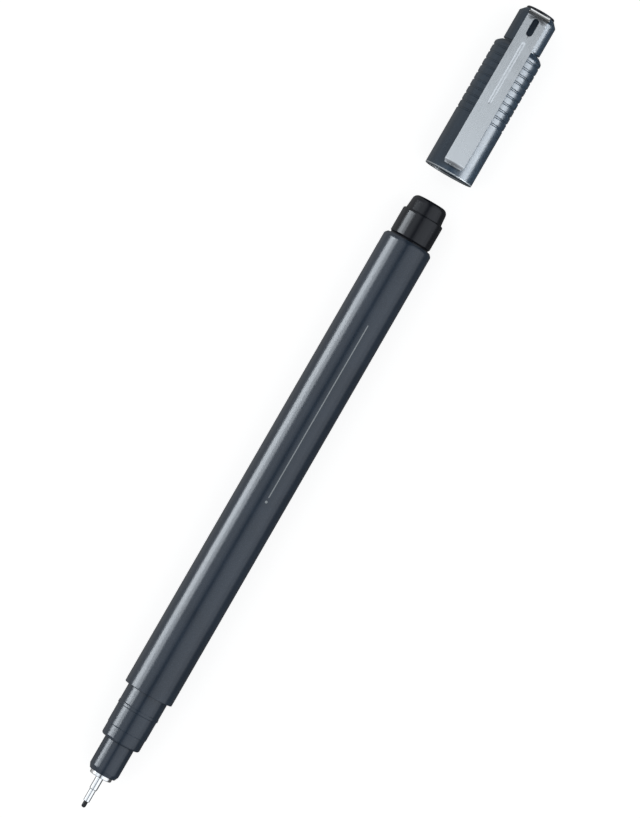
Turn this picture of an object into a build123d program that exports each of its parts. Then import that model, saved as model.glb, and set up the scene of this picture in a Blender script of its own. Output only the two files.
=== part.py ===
from build123d import *

import os

# A fineliner pen that lies along X, nib towards -X, with its cap drawn off the tail and lying in
# line behind it. Z is up and the pocket clip is on top. All lengths are in millimetres.
# The origin is on the table, below the middle of the pen's whole length.

# ---- Fits, each the gap on one side ----
press_fit = 0.01  # pieces pushed home for good
slide_fit = 0.02  # nib, sleeve and wick in their bores
seal_fit = 0.03  # the inner cap over the nose cone
pocket_fit = 0.1  # the clip's tab across its pocket
clip_relief = 0.35  # room behind the clip's tab, for the clip to give
cap_play = 0.06  # the cap's bore over the tail plug and over the grip's bead
flange_play = 0.1  # the inner cap's flange in the cap's bore
edge_break = 0.12  # small moulded edges

# ---- Nib and metal tip ----
nib_diameter = 0.85
nib_exposed = 1.3
nib_length = 20.0
sleeve_front_wall = 0.195
sleeve_front_length = 2.5
sleeve_edge_round = 0.07
sleeve_taper_length = 0.12
sleeve_wall = 0.335
sleeve_exposed = 4.95
sleeve_length = 15.0
collar_diameter = 4.46
collar_thickness = 0.85
collar_edge_round = 0.2
collar_stem_step = 0.1  # the stem's bore is this much narrower than the nose's bore behind it
collar_stem_length = 3.0

# ---- Nose cone ----
nose_diameter = 6.05
nose_length = 6.77
nose_chamfer_radial = 0.4
nose_chamfer_axial = 0.84
nose_shoulder = 0.225  # from the nose's surface in to its spigot
nose_spigot_wall = 1.0
nose_spigot_length = 6.0
stem_seat_spare = 0.2  # the collar's stem ends this far short of the step in the nose's bore

# ---- Grip section ----
grip_front_length = 2.3
grip_front_round = 0.45
grip_diameter = 8.12
grip_front_step = 0.095
grip_rear_step = 0.06
grip_middle_length = 4.02
bead_height = 0.13
bead_length = 0.67
bead_round = 0.05
grip_rear_length = 3.58
grip_spigot_wall = 0.99
grip_spigot_length = 9.0
spigot_lead_in = 0.4

# ---- Ink system ----
holder_front_gap = 0.17  # from the step in the nose's bore to the holder
holder_flange_length = 0.9
holder_tail_length = 1.4
holder_vent_count = 4
holder_vent_width = 0.7
holder_vent_depth = 0.35
wick_diameter = 2.2
wick_lead_in = 0.4
wick_in_reservoir = 8.0
wick_nib_seat = 2.0
film_thickness = 0.1
film_inset = 0.4

# ---- Barrel ----
barrel_diameter = 9.9
barrel_length = 97.0
barrel_wall = 1.0
barrel_front_chamfer = 0.15
barrel_rear_round = 0.8
barrel_rib_count = 6
barrel_rib_width = 0.6
barrel_rib_height = 0.56
barrel_rib_root = 0.2  # how far a rib runs into the wall
barrel_rib_end_gap = 0.6  # from a rib's ends to the pieces pushed in at either end

# ---- Tail plug ----
plug_spigot_length = 8.0
plug_spigot_wall = 1.24
plug_neck_relief = 0.05  # the neck is this much thinner than the barrel's bore
plug_neck_length = 0.5
plug_lip = 0.21  # the body stands out this far past the barrel's bore
plug_body_length = 4.8
plug_body_chamfer = 0.4
plug_step = 0.435
plug_end_taper = 0.17  # on the radius, over the end's length
plug_end_length = 3.25
plug_end_round = 1.0
plug_rear_wall = 2.2
finger_count = 4
finger_width = 1.0
finger_height = 0.65
finger_length = 2.0

# ---- Cap ----
cap_gap = 6.0  # from the tail plug's end to the mouth of the drawn-off cap
cap_wall = 0.63
cap_mouth_chamfer = 0.15
cap_shoulder_length = 0.82
crown_step = 1.04
crown_length = 7.3
crown_chamfer_length = 1.2
crown_chamfer_radial = 0.89
crown_groove_width = 0.25
crown_groove_depth = 0.15
snap_groove_width = 1.0
snap_groove_depth = 0.13
rib_groove_count = 10
rib_groove_pitch = 1.487
rib_groove_inset = 0.87  # from the last groove's middle to the shoulder
rib_groove_width = 0.45
rib_groove_depth = 0.11
crown_bore = 4.4
crown_end_wall = 2.3

# ---- Inner cap ----
inner_cap_wall = 0.545
inner_cap_flange_length = 0.5
inner_cap_grip_room = 0.13  # from the closed cap's inner flange to the front of the grip
inner_cap_nib_room = 0.46  # beyond the tip of the nib when the cap is closed
inner_cap_end_wall = 0.6
inner_cap_end_round = 0.6
shoulder_wall = 0.7  # from the inner cap's end to the cap's shoulder

# ---- Crown plug ----
crown_plug_inset = 0.05  # from the rim of the crown's end
crown_plug_thickness = 0.5
crown_plug_edge = 0.12
crown_stem_diameter = 2.2
crown_stem_length = 3.4
crown_stem_point = 0.3

# ---- Pocket clip ----
clip_thickness = 0.45
clip_width = 4.24
clip_lower_width = 4.08
clip_tip_width = 3.5
clip_tip_taper_length = 0.7
clip_drop = 0.4  # the arm slopes down by this much from the bend to its lower end
clip_stand_off = 1.27  # the outer face over the cap's surface at the bend
clip_length = 32.6
clip_bend_radius = 1.15  # outer
clip_curl_radius = 0.65  # outer
clip_tip_gap = 0.14
clip_tab_below_axis = 2.1
clip_tab_corner = 0.8
clip_slot_width = 1.19
clip_slot_length = 3.57
clip_slot_from_end = 1.3
clip_channel_width = 1.0
clip_channel_length = 13.0
clip_channel_depth = 0.14
clip_channel_from_end = 6.1

# ---- Stations along the pen, measured from the tip of the nib ----
collar_front = nib_exposed + sleeve_exposed
nose_front = collar_front + collar_thickness
grip_front = nose_front + nose_length
bead_front = grip_front + grip_front_length + grip_middle_length
bead_rear = bead_front + bead_length
barrel_front = bead_rear + grip_rear_length
barrel_rear = barrel_front + barrel_length
plug_body_front = barrel_rear + plug_neck_length
plug_end_front = plug_body_front + plug_body_length
plug_rear = plug_end_front + plug_end_length
cap_mouth = plug_rear + cap_gap
# When the cap is closed its mouth meets the front of the barrel, so its inside is measured by
# what then lies in front of the barrel.
inner_cap_seat = cap_mouth + barrel_front - grip_front + inner_cap_grip_room + inner_cap_flange_length
inner_cap_rear = cap_mouth + barrel_front + inner_cap_nib_room + inner_cap_end_wall
snap_groove_middle = cap_mouth + barrel_front - (bead_front + bead_rear) / 2
cap_shoulder = inner_cap_rear + shoulder_wall
crown_front = cap_shoulder + cap_shoulder_length
crown_rear = crown_front + crown_length
overall_length = crown_rear + crown_plug_thickness

sleeve_rear = nib_exposed + sleeve_length
nose_spigot_rear = grip_front + nose_spigot_length
grip_spigot_rear = barrel_front + grip_spigot_length
stem_step = nose_front + collar_stem_length + stem_seat_spare
holder_front = stem_step + holder_front_gap
holder_rear = nose_spigot_rear + holder_flange_length + holder_tail_length
wick_front = nib_length - wick_nib_seat
plug_spigot_front = barrel_rear - plug_spigot_length
reservoir_front = grip_spigot_rear
reservoir_rear = plug_spigot_front - finger_length
reservoir_length = reservoir_rear - reservoir_front
wick_rear = reservoir_front + wick_in_reservoir

# ---- Diameters and heights that follow from a wall, a step or a fit ----
barrel_bore = barrel_diameter - 2 * barrel_wall
film_radius = barrel_bore / 2 - barrel_rib_height - slide_fit
reservoir_diameter = 2 * (film_radius - film_thickness - slide_fit)
grip_bore = barrel_bore - 2 * press_fit - 2 * grip_spigot_wall
grip_front_diameter = grip_diameter - 2 * grip_front_step
grip_rear_diameter = grip_diameter + 2 * grip_rear_step
bead_diameter = grip_diameter + 2 * bead_height
nose_spigot_diameter = nose_diameter - 2 * nose_shoulder
nose_bore = nose_spigot_diameter - 2 * nose_spigot_wall
collar_stem_diameter = nose_bore - 2 * collar_stem_step
sleeve_bore = nib_diameter + 2 * slide_fit
sleeve_front_diameter = sleeve_bore + 2 * sleeve_front_wall
sleeve_diameter = sleeve_bore + 2 * sleeve_wall
plug_spigot_diameter = barrel_bore - 2 * press_fit
plug_bore = plug_spigot_diameter - 2 * plug_spigot_wall
plug_neck_diameter = barrel_bore - 2 * plug_neck_relief
plug_body_diameter = barrel_bore + 2 * plug_lip
plug_end_diameter = plug_body_diameter - 2 * plug_step
cap_bore = max(plug_body_diameter, bead_diameter) + 2 * cap_play
cap_diameter = cap_bore + 2 * cap_wall
inner_cap_bore = nose_diameter + 2 * seal_fit
inner_cap_diameter = inner_cap_bore + 2 * inner_cap_wall
crown_diameter = cap_diameter - 2 * crown_step
crown_end_diameter = crown_diameter - 2 * crown_chamfer_radial
crown_plug_diameter = crown_end_diameter - 2 * crown_plug_inset
clip_top_height = cap_diameter / 2 + clip_stand_off

# ---- Planes ----
# Half sections are drawn on a plane whose X runs along the pen from the tip of the nib and whose
# Y is the distance from the pen's axis.
axis_height = max(barrel_diameter, cap_diameter) / 2
section = Plane(origin=(-overall_length / 2, 0, axis_height), x_dir=(1, 0, 0), z_dir=(0, -1, 0))
pen_axis = Axis(section.origin, (1, 0, 0))


def across(station):
    """The plane square to the pen's axis at a station. It faces the cap's end."""
    return Plane(origin=section.from_local_coords((station, 0)), x_dir=(0, 1, 0), z_dir=(1, 0, 0))


def over_axis(station, height):
    """The level plane at a height over the pen's axis, with its origin at a station."""
    return Plane(origin=section.from_local_coords((station, height)), x_dir=(1, 0, 0), z_dir=(0, 0, 1))


def rims(part, radius):
    """The circular edges of a turned part at one radius, from front to rear."""
    circles = part.edges().filter_by(GeomType.CIRCLE)
    return circles.filter_by(lambda edge: abs(edge.radius - radius) < 1e-4).sort_by(Axis.X)


os.makedirs("parts", exist_ok=True)


# ---- Nib: a thin rod with a rounded writing end ----
with BuildPart() as nib:
    with BuildSketch(across(0)):
        Circle(nib_diameter / 2)
    extrude(amount=nib_length)
    fillet(rims(nib, nib_diameter / 2)[0], 0.9 * nib_diameter / 2)

nib.part.label = "nib"
export_step(nib.part, "parts/nib.step")


# ---- Nib sleeve: a drawn metal tube, necked down at the front ----
with BuildPart() as nib_sleeve:
    neck_rear = nib_exposed + sleeve_front_length
    with BuildSketch(section):
        with BuildLine():
            Polyline(
                (nib_exposed, sleeve_bore / 2),
                (nib_exposed, sleeve_front_diameter / 2),
                (neck_rear, sleeve_front_diameter / 2),
                (neck_rear + sleeve_taper_length, sleeve_diameter / 2),
                (sleeve_rear, sleeve_diameter / 2),
                (sleeve_rear, sleeve_bore / 2),
                close=True,
            )
        make_face()
    revolve(axis=pen_axis)
    fillet(rims(nib_sleeve, sleeve_front_diameter / 2)[0], sleeve_edge_round)

nib_sleeve.part.label = "nib_sleeve"
export_step(nib_sleeve.part, "parts/nib_sleeve.step")


# ---- Tip collar: a metal flange that closes the nose, on a stem pressed into it ----
with BuildPart() as tip_collar:
    with BuildSketch(across(collar_front)):
        Circle(collar_diameter / 2)
    extrude(amount=collar_thickness)
    fillet(rims(tip_collar, collar_diameter / 2)[0], collar_edge_round)
    with BuildSketch(across(nose_front)):
        Circle(collar_stem_diameter / 2)
    extrude(amount=collar_stem_length)
    with BuildSketch(across(collar_front)):
        Circle(sleeve_diameter / 2 + press_fit)
    extrude(amount=collar_thickness + collar_stem_length, mode=Mode.SUBTRACT)

tip_collar.part.label = "tip_collar"
export_step(tip_collar.part, "parts/tip_collar.step")


# ---- Nose cone: chamfered front, counterbored for the collar, with a spigot for the grip ----
with BuildPart() as nose_cone:
    with BuildSketch(section):
        with BuildLine():
            Polyline(
                (nose_front, collar_stem_diameter / 2 + press_fit),
                (nose_front, nose_diameter / 2 - nose_chamfer_radial),
                (nose_front + nose_chamfer_axial, nose_diameter / 2),
                (grip_front, nose_diameter / 2),
                (grip_front, nose_spigot_diameter / 2),
                (nose_spigot_rear, nose_spigot_diameter / 2),
                (nose_spigot_rear, nose_bore / 2),
                (stem_step, nose_bore / 2),
                (stem_step, collar_stem_diameter / 2 + press_fit),
                close=True,
            )
        make_face()
    revolve(axis=pen_axis)
    chamfer(rims(nose_cone, nose_diameter / 2)[-1], edge_break)
    chamfer(rims(nose_cone, nose_spigot_diameter / 2)[-1], edge_break)

nose_cone.part.label = "nose_cone"
export_step(nose_cone.part, "parts/nose_cone.step")


# ---- Grip section: three faint steps and a bead outside, a long spigot into the barrel ----
with BuildPart() as grip_section:
    with BuildSketch(section):
        with BuildLine():
            Polyline(
                (grip_front, nose_spigot_diameter / 2 + press_fit),
                (grip_front, grip_front_diameter / 2),
                (grip_front + grip_front_length, grip_front_diameter / 2),
                (grip_front + grip_front_length, grip_diameter / 2),
                (bead_front, grip_diameter / 2),
                (bead_front, bead_diameter / 2),
                (bead_rear, bead_diameter / 2),
                (bead_rear, grip_rear_diameter / 2),
                (barrel_front, grip_rear_diameter / 2),
                (barrel_front, barrel_bore / 2 - press_fit),
                (grip_spigot_rear, barrel_bore / 2 - press_fit),
                (grip_spigot_rear, grip_bore / 2),
                (nose_spigot_rear, grip_bore / 2),
                (nose_spigot_rear, nose_spigot_diameter / 2 + press_fit),
                close=True,
            )
        make_face()
    revolve(axis=pen_axis)
    fillet(rims(grip_section, grip_front_diameter / 2)[0], grip_front_round)
    fillet(rims(grip_section, bead_diameter / 2), bead_round)
    chamfer(rims(grip_section, barrel_bore / 2 - press_fit)[-1], spigot_lead_in)

grip_section.part.label = "grip_section"
export_step(grip_section.part, "parts/grip_section.step")


# ---- Nib holder: a flanged tube inside the nose, with vents along it and through its flange ----
with BuildPart() as nib_holder:
    holder_radius = nose_bore / 2 - slide_fit
    flange_radius = grip_bore / 2 - slide_fit
    flange_rear = nose_spigot_rear + holder_flange_length
    with BuildSketch(section):
        with BuildLine():
            Polyline(
                (holder_front, sleeve_diameter / 2 + press_fit),
                (holder_front, holder_radius),
                (nose_spigot_rear, holder_radius),
                (nose_spigot_rear, flange_radius),
                (flange_rear, flange_radius),
                (flange_rear, holder_radius),
                (holder_rear, holder_radius),
                (holder_rear, wick_diameter / 2 + slide_fit),
                (wick_front, wick_diameter / 2 + slide_fit),
                (wick_front, sleeve_diameter / 2 + press_fit),
                close=True,
            )
        make_face()
    revolve(axis=pen_axis)
    vent_reach = flange_radius - holder_radius + holder_vent_depth
    with BuildSketch(across(holder_front)):
        with PolarLocations(flange_radius, holder_vent_count):
            Rectangle(2 * vent_reach, holder_vent_width)
    extrude(amount=holder_rear - holder_front, mode=Mode.SUBTRACT)

nib_holder.part.label = "nib_holder"
export_step(nib_holder.part, "parts/nib_holder.step")


# ---- Relay wick: a fibre rod from the reservoir to the nib, which sits in its front end ----
with BuildPart() as relay_wick:
    with BuildSketch(across(wick_front)):
        Circle(wick_diameter / 2)
    extrude(amount=wick_rear - wick_front)
    chamfer(rims(relay_wick, wick_diameter / 2)[-1], wick_lead_in)
    with BuildSketch(across(wick_front)):
        Circle(nib_diameter / 2 + slide_fit)
    extrude(amount=wick_nib_seat, mode=Mode.SUBTRACT)

relay_wick.part.label = "relay_wick"
export_step(relay_wick.part, "parts/relay_wick.step")


# ---- Reservoir: a fibre core in a film, pierced by the wick at the front ----
with BuildPart() as reservoir_core:
    with BuildSketch(across(reservoir_front)):
        Circle(reservoir_diameter / 2)
    extrude(amount=reservoir_length)
    with BuildSketch(across(reservoir_front)):
        Circle(wick_diameter / 2 + slide_fit)
    extrude(amount=wick_in_reservoir, mode=Mode.SUBTRACT)

reservoir_core.part.label = "reservoir_core"
export_step(reservoir_core.part, "parts/reservoir_core.step")

with BuildPart() as reservoir_film:
    with BuildSketch(across(reservoir_front + film_inset)):
        Circle(film_radius)
        Circle(film_radius - film_thickness, mode=Mode.SUBTRACT)
    extrude(amount=reservoir_length - 2 * film_inset)

reservoir_film.part.label = "reservoir_film"
export_step(reservoir_film.part, "parts/reservoir_film.step")


# ---- Barrel: a straight tube, ribbed inside to hold the reservoir off the wall for air ----
with BuildPart() as barrel:
    with BuildSketch(across(barrel_front)):
        Circle(barrel_diameter / 2)
        Circle(barrel_bore / 2, mode=Mode.SUBTRACT)
    extrude(amount=barrel_length)
    chamfer(rims(barrel, barrel_diameter / 2)[0], barrel_front_chamfer)
    fillet(rims(barrel, barrel_diameter / 2)[-1], barrel_rear_round)
    rib_front = grip_spigot_rear + barrel_rib_end_gap
    rib_rear = plug_spigot_front - barrel_rib_end_gap
    rib_inner = barrel_bore / 2 - barrel_rib_height
    rib_outer = barrel_bore / 2 + barrel_rib_root
    with BuildSketch(across(rib_front)):
        with PolarLocations((rib_inner + rib_outer) / 2, barrel_rib_count):
            Rectangle(rib_outer - rib_inner, barrel_rib_width)
    extrude(amount=rib_rear - rib_front)

barrel.part.label = "barrel"
export_step(barrel.part, "parts/barrel.step")


# ---- Tail plug: hollow spigot in the barrel, neck, and the stepped end the cap is posted on ----
with BuildPart() as tail_plug:
    with BuildSketch(section):
        with BuildLine():
            Polyline(
                (plug_spigot_front, 0),
                (plug_spigot_front, plug_spigot_diameter / 2),
                (barrel_rear, plug_spigot_diameter / 2),
                (barrel_rear, plug_neck_diameter / 2),
                (plug_body_front, plug_neck_diameter / 2),
                (plug_body_front, plug_body_diameter / 2),
                (plug_end_front, plug_body_diameter / 2),
                (plug_end_front, plug_end_diameter / 2),
                (plug_rear, plug_end_diameter / 2 - plug_end_taper),
                (plug_rear, 0),
                close=True,
            )
        make_face()
    revolve(axis=pen_axis)
    chamfer(rims(tail_plug, plug_spigot_diameter / 2)[0], spigot_lead_in)
    fillet(rims(tail_plug, plug_body_diameter / 2)[0], edge_break)
    chamfer(rims(tail_plug, plug_body_diameter / 2)[-1], plug_body_chamfer)
    fillet(rims(tail_plug, plug_end_diameter / 2 - plug_end_taper)[-1], plug_end_round)
    with BuildSketch(across(plug_spigot_front)):
        Circle(plug_bore / 2)
    extrude(amount=plug_rear - plug_rear_wall - plug_spigot_front, mode=Mode.SUBTRACT)
    # Fingers reach forward from the spigot's rim and stop the reservoir from sliding back.
    with BuildSketch(across(reservoir_rear)):
        with PolarLocations(plug_bore / 2 + finger_height / 2, finger_count, start_angle=45):
            Rectangle(finger_height, finger_width)
    extrude(amount=finger_length + spigot_lead_in)

tail_plug.part.label = "tail_plug"
export_step(tail_plug.part, "parts/tail_plug.step")


# ---- Cap shell: ribbed body, narrower crown with a pocket for the clip in its end ----
with BuildPart() as cap_shell:
    inner_seat_radius = inner_cap_diameter / 2 + press_fit
    inner_seat_rear = inner_cap_rear + slide_fit
    with BuildSketch(section):
        with BuildLine():
            Polyline(
                (cap_mouth, cap_bore / 2),
                (cap_mouth, cap_diameter / 2),
                (cap_shoulder, cap_diameter / 2),
                (crown_front, crown_diameter / 2 - crown_groove_depth),
                (crown_front + crown_groove_width, crown_diameter / 2 - crown_groove_depth),
                (crown_front + crown_groove_width, crown_diameter / 2),
                (crown_rear - crown_chamfer_length, crown_diameter / 2),
                (crown_rear, crown_end_diameter / 2),
                (crown_rear, crown_stem_diameter / 2 + press_fit),
                (crown_rear - crown_end_wall, crown_stem_diameter / 2 + press_fit),
                (crown_rear - crown_end_wall, crown_bore / 2),
                (inner_seat_rear, crown_bore / 2),
                (inner_seat_rear, inner_seat_radius),
                (inner_cap_seat, inner_seat_radius),
                (inner_cap_seat, cap_bore / 2),
                close=True,
            )
        make_face()
    revolve(axis=pen_axis)
    chamfer(rims(cap_shell, cap_diameter / 2)[0], cap_mouth_chamfer)
    # Shallow grooves round the upper part of the body, and one inside the mouth that the bead
    # of the grip snaps into when the cap is on.
    with BuildSketch(section):
        last_groove = cap_shoulder - rib_groove_inset
        middle_groove = last_groove - (rib_groove_count - 1) * rib_groove_pitch / 2
        with Locations((middle_groove, cap_diameter / 2)):
            with GridLocations(rib_groove_pitch, 0, rib_groove_count, 1):
                Rectangle(rib_groove_width, 2 * rib_groove_depth)
        with Locations((snap_groove_middle, cap_bore / 2)):
            Rectangle(snap_groove_width, 2 * snap_groove_depth)
    revolve(axis=pen_axis, mode=Mode.SUBTRACT)
    # The pocket is open at the top, where the clip leaves it.
    pocket_depth = clip_thickness + clip_relief
    pocket_bottom = -clip_tab_below_axis - pocket_fit
    with BuildSketch(across(crown_rear - pocket_depth)):
        with Locations((0, pocket_bottom)):
            Rectangle(
                clip_width + 2 * pocket_fit,
                crown_diameter,
                align=(Align.CENTER, Align.MIN),
            )
    extrude(amount=pocket_depth, mode=Mode.SUBTRACT)

cap_shell.part.label = "cap_shell"
export_step(cap_shell.part, "parts/cap_shell.step")


# ---- Inner cap: a cup that seals on the nose cone, with a flange seated in the cap's bore ----
with BuildPart() as inner_cap:
    with BuildSketch(across(inner_cap_seat - inner_cap_flange_length)):
        Circle(cap_bore / 2 - flange_play)
    extrude(amount=inner_cap_flange_length)
    with BuildSketch(across(inner_cap_seat)):
        Circle(inner_cap_diameter / 2)
    extrude(amount=inner_cap_rear - inner_cap_seat)
    fillet(rims(inner_cap, inner_cap_diameter / 2)[-1], inner_cap_end_round)
    with BuildSketch(across(inner_cap_seat - inner_cap_flange_length)):
        Circle(inner_cap_bore / 2)
    bore_length = inner_cap_flange_length + inner_cap_rear - inner_cap_seat - inner_cap_end_wall
    extrude(amount=bore_length, mode=Mode.SUBTRACT)
    chamfer(rims(inner_cap, inner_cap_bore / 2)[0], edge_break)

inner_cap.part.label = "inner_cap"
export_step(inner_cap.part, "parts/inner_cap.step")


# ---- Crown plug: a disc over the clip's tab, on a stem through the crown's end wall ----
with BuildPart() as crown_plug:
    with BuildSketch(across(crown_rear)):
        Circle(crown_plug_diameter / 2)
    extrude(amount=crown_plug_thickness)
    fillet(rims(crown_plug, crown_plug_diameter / 2)[-1], crown_plug_edge)
    with BuildSketch(across(crown_rear - crown_stem_length)):
        Circle(crown_stem_diameter / 2)
    extrude(amount=crown_stem_length)
    chamfer(rims(crown_plug, crown_stem_diameter / 2)[0], crown_stem_point)

crown_plug.part.label = "crown_plug"
export_step(crown_plug.part, "parts/crown_plug.step")


# ---- Pocket clip: a metal strip from the crown's pocket, over the bend and down the cap ----
clip_lower_end = crown_rear - clip_length
clip_lower_height = clip_top_height - clip_drop
# The arm's outer face: X runs up the arm to the corner above the crown's end, Z points outwards.
arm_face = Plane(
    origin=section.from_local_coords((crown_rear, clip_top_height)),
    x_dir=(clip_length, 0, clip_drop),
    z_dir=(-clip_drop, 0, clip_length),
)

with BuildPart() as pocket_clip:
    with BuildSketch(section):
        with BuildLine():
            FilletPolyline(
                (crown_rear, -clip_tab_below_axis),
                (crown_rear, clip_top_height),
                (clip_lower_end, clip_lower_height),
                (clip_lower_end, cap_diameter / 2 + clip_tip_gap),
                radius=(clip_bend_radius, clip_curl_radius),
            )
            offset(amount=clip_thickness, side=Side.LEFT)
        make_face()
    extrude(amount=clip_width / 2, both=True)
    # Seen from above, the strip narrows a little down the arm and more at the curled tip.
    with BuildSketch(over_axis(0, -clip_tab_below_axis)):
        with BuildLine():
            Polyline(
                (crown_rear, 0),
                (crown_rear, clip_width / 2),
                (crown_rear - clip_bend_radius, clip_width / 2),
                (clip_lower_end + clip_tip_taper_length, clip_lower_width / 2),
                (clip_lower_end, clip_tip_width / 2),
                (clip_lower_end, 0),
            )
            mirror(about=Plane.XZ)
        make_face()
    extrude(amount=clip_tab_below_axis + clip_top_height, mode=Mode.INTERSECT)
    fillet(pocket_clip.edges().filter_by(Axis.X).group_by(Axis.Z)[0], clip_tab_corner)
    with BuildSketch(across(crown_rear)):
        Circle(crown_stem_diameter / 2 + pocket_fit)
    extrude(amount=-clip_thickness, mode=Mode.SUBTRACT)
    # The slot goes through the arm. The channel is pressed in, so it stands out underneath.
    with BuildSketch(arm_face):
        with Locations((-clip_slot_from_end - clip_slot_length / 2, 0)):
            SlotOverall(clip_slot_length, clip_slot_width)
    extrude(amount=-2 * clip_thickness, mode=Mode.SUBTRACT)
    channel_middle = -clip_channel_from_end - clip_channel_length / 2
    with BuildSketch(arm_face):
        with Locations((channel_middle, 0)):
            SlotOverall(clip_channel_length, clip_channel_width)
    extrude(amount=-clip_channel_depth, mode=Mode.SUBTRACT)
    with BuildSketch(arm_face.offset(-clip_thickness)):
        with Locations((channel_middle, 0)):
            SlotOverall(clip_channel_length, clip_channel_width)
    extrude(amount=-clip_channel_depth)

pocket_clip.part.label = "pocket_clip"
export_step(pocket_clip.part, "parts/pocket_clip.step")
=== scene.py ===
import logging
import math
from collections.abc import Iterable, Sequence
from dataclasses import dataclass, field
from enum import Enum
from typing import NamedTuple

import bmesh
import bpy
from mathutils import Matrix, Vector


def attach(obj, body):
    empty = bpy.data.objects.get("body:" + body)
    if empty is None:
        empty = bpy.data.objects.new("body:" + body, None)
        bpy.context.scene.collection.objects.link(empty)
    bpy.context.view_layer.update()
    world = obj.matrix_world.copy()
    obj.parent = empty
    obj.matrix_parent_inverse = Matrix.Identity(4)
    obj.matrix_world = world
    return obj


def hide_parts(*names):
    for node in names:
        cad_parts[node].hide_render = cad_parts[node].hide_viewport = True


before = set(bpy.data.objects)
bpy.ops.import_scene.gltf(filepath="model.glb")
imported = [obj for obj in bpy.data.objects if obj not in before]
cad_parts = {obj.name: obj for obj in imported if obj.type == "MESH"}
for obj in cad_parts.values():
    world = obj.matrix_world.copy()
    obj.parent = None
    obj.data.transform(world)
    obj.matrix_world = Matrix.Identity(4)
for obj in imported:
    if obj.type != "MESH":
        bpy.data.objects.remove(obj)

# A fineliner pen lies along X with its nib towards -X, its cap drawn off the tail behind it and the
# pocket clip on top. Sizes below are in millimetres. A station is the distance along the pen from
# the tip of the nib. Meshes are made in metres, in the row frame. FIT is the gap between pieces
# that are pushed into each other, and BEYOND how far a cutting tool reaches past what it cuts.
# Edges that turn by more than CREASE degrees stay crisp, and less than TINY, in metres, counts as
# nothing.

MM = 0.001
AXIS_HEIGHT = 4.95
NIB_TIP = -85.405
FIT = 0.01
BEYOND = 1.0
CREASE = 32.0
TINY = 1e-8

log = logging.getLogger("fineliner")

Colour = tuple[float, float, float]


class Slot(Enum):
    """The material slots of the pen's record."""

    BARREL = "barrel_plastic"
    CAP = "cap_plastic"
    BLACK = "black_plastic"
    TIP = "tip_metal"
    CLIP = "clip_metal"
    NIB = "nib_plastic"
    INNER = "inner_plastic"


class Body(Enum):
    """The moving bodies that the pieces ride on."""

    PEN = "pen"
    CAP = "cap"
    CLIP = "clip"


class Use(Enum):
    """What a lamp is for."""

    ALL = "all"
    SHEEN = "sheen"
    BODY = "body"


class Lit(Enum):
    """What a lamp lights, by the name of the collection of those pieces."""

    EVERYTHING = ""
    PEN = "pen_pieces"
    TIP = "tip_pieces"
    CAP_SHELL = "cap_shell_pieces"
    CAP = "cap_pieces"
    CLIP = "clip_pieces"


class Join(Enum):
    """What a tool does to a piece: it cuts it, is added to it or trims it to its own shape."""

    CUT = "DIFFERENCE"
    ADD = "UNION"
    TRIM = "INTERSECT"


class Fineness(Enum):
    """How many flats go round a turned piece."""

    FINE = 144
    MEDIUM = 96
    SMALL = 64


class Ramp(NamedTuple):
    """How a value is mapped: from its own range, low to high, to the range first to last."""

    low: float
    high: float
    first: float = 0.0
    last: float = 1.0


def shade(red: int, green: int, blue: int) -> Colour:
    """Converts an sRGB colour to linear values.

    Args:
        red: Its red, from 0 to 255.
        green: Its green, from 0 to 255.
        blue: Its blue, from 0 to 255.

    Returns:
        The linear colour.
    """
    def linear(value: int) -> float:
        """Returns one channel as a linear value."""
        v = value / 255
        return v / 12.92 if v <= 0.04045 else ((v + 0.055) / 1.055) ** 2.4

    return (linear(red), linear(green), linear(blue))


def tone(colour: Colour, gain: float, lift: float = 0.0) -> Colour:
    """Makes a colour darker or paler.

    Args:
        colour: The linear colour.
        gain: What each channel is multiplied by.
        lift: What is then added to each channel.

    Returns:
        The new colour, with no channel over 1.
    """
    return tuple(min(1.0, channel * gain + lift) for channel in colour)


def place(station: float, across: float, above: float) -> Vector:
    """Finds a point of the pen in the row frame.

    Args:
        station: Distance from the tip of the nib along the pen, in mm.
        across: Distance towards +Y from the pen's axis, in mm.
        above: Height over the pen's axis, in mm.

    Returns:
        The point in metres.
    """
    return Vector((NIB_TIP + station, across, AXIS_HEIGHT + above)) * MM


# ---------------------------------------------------------------------------------------------
# Shader helpers
# ---------------------------------------------------------------------------------------------


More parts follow.
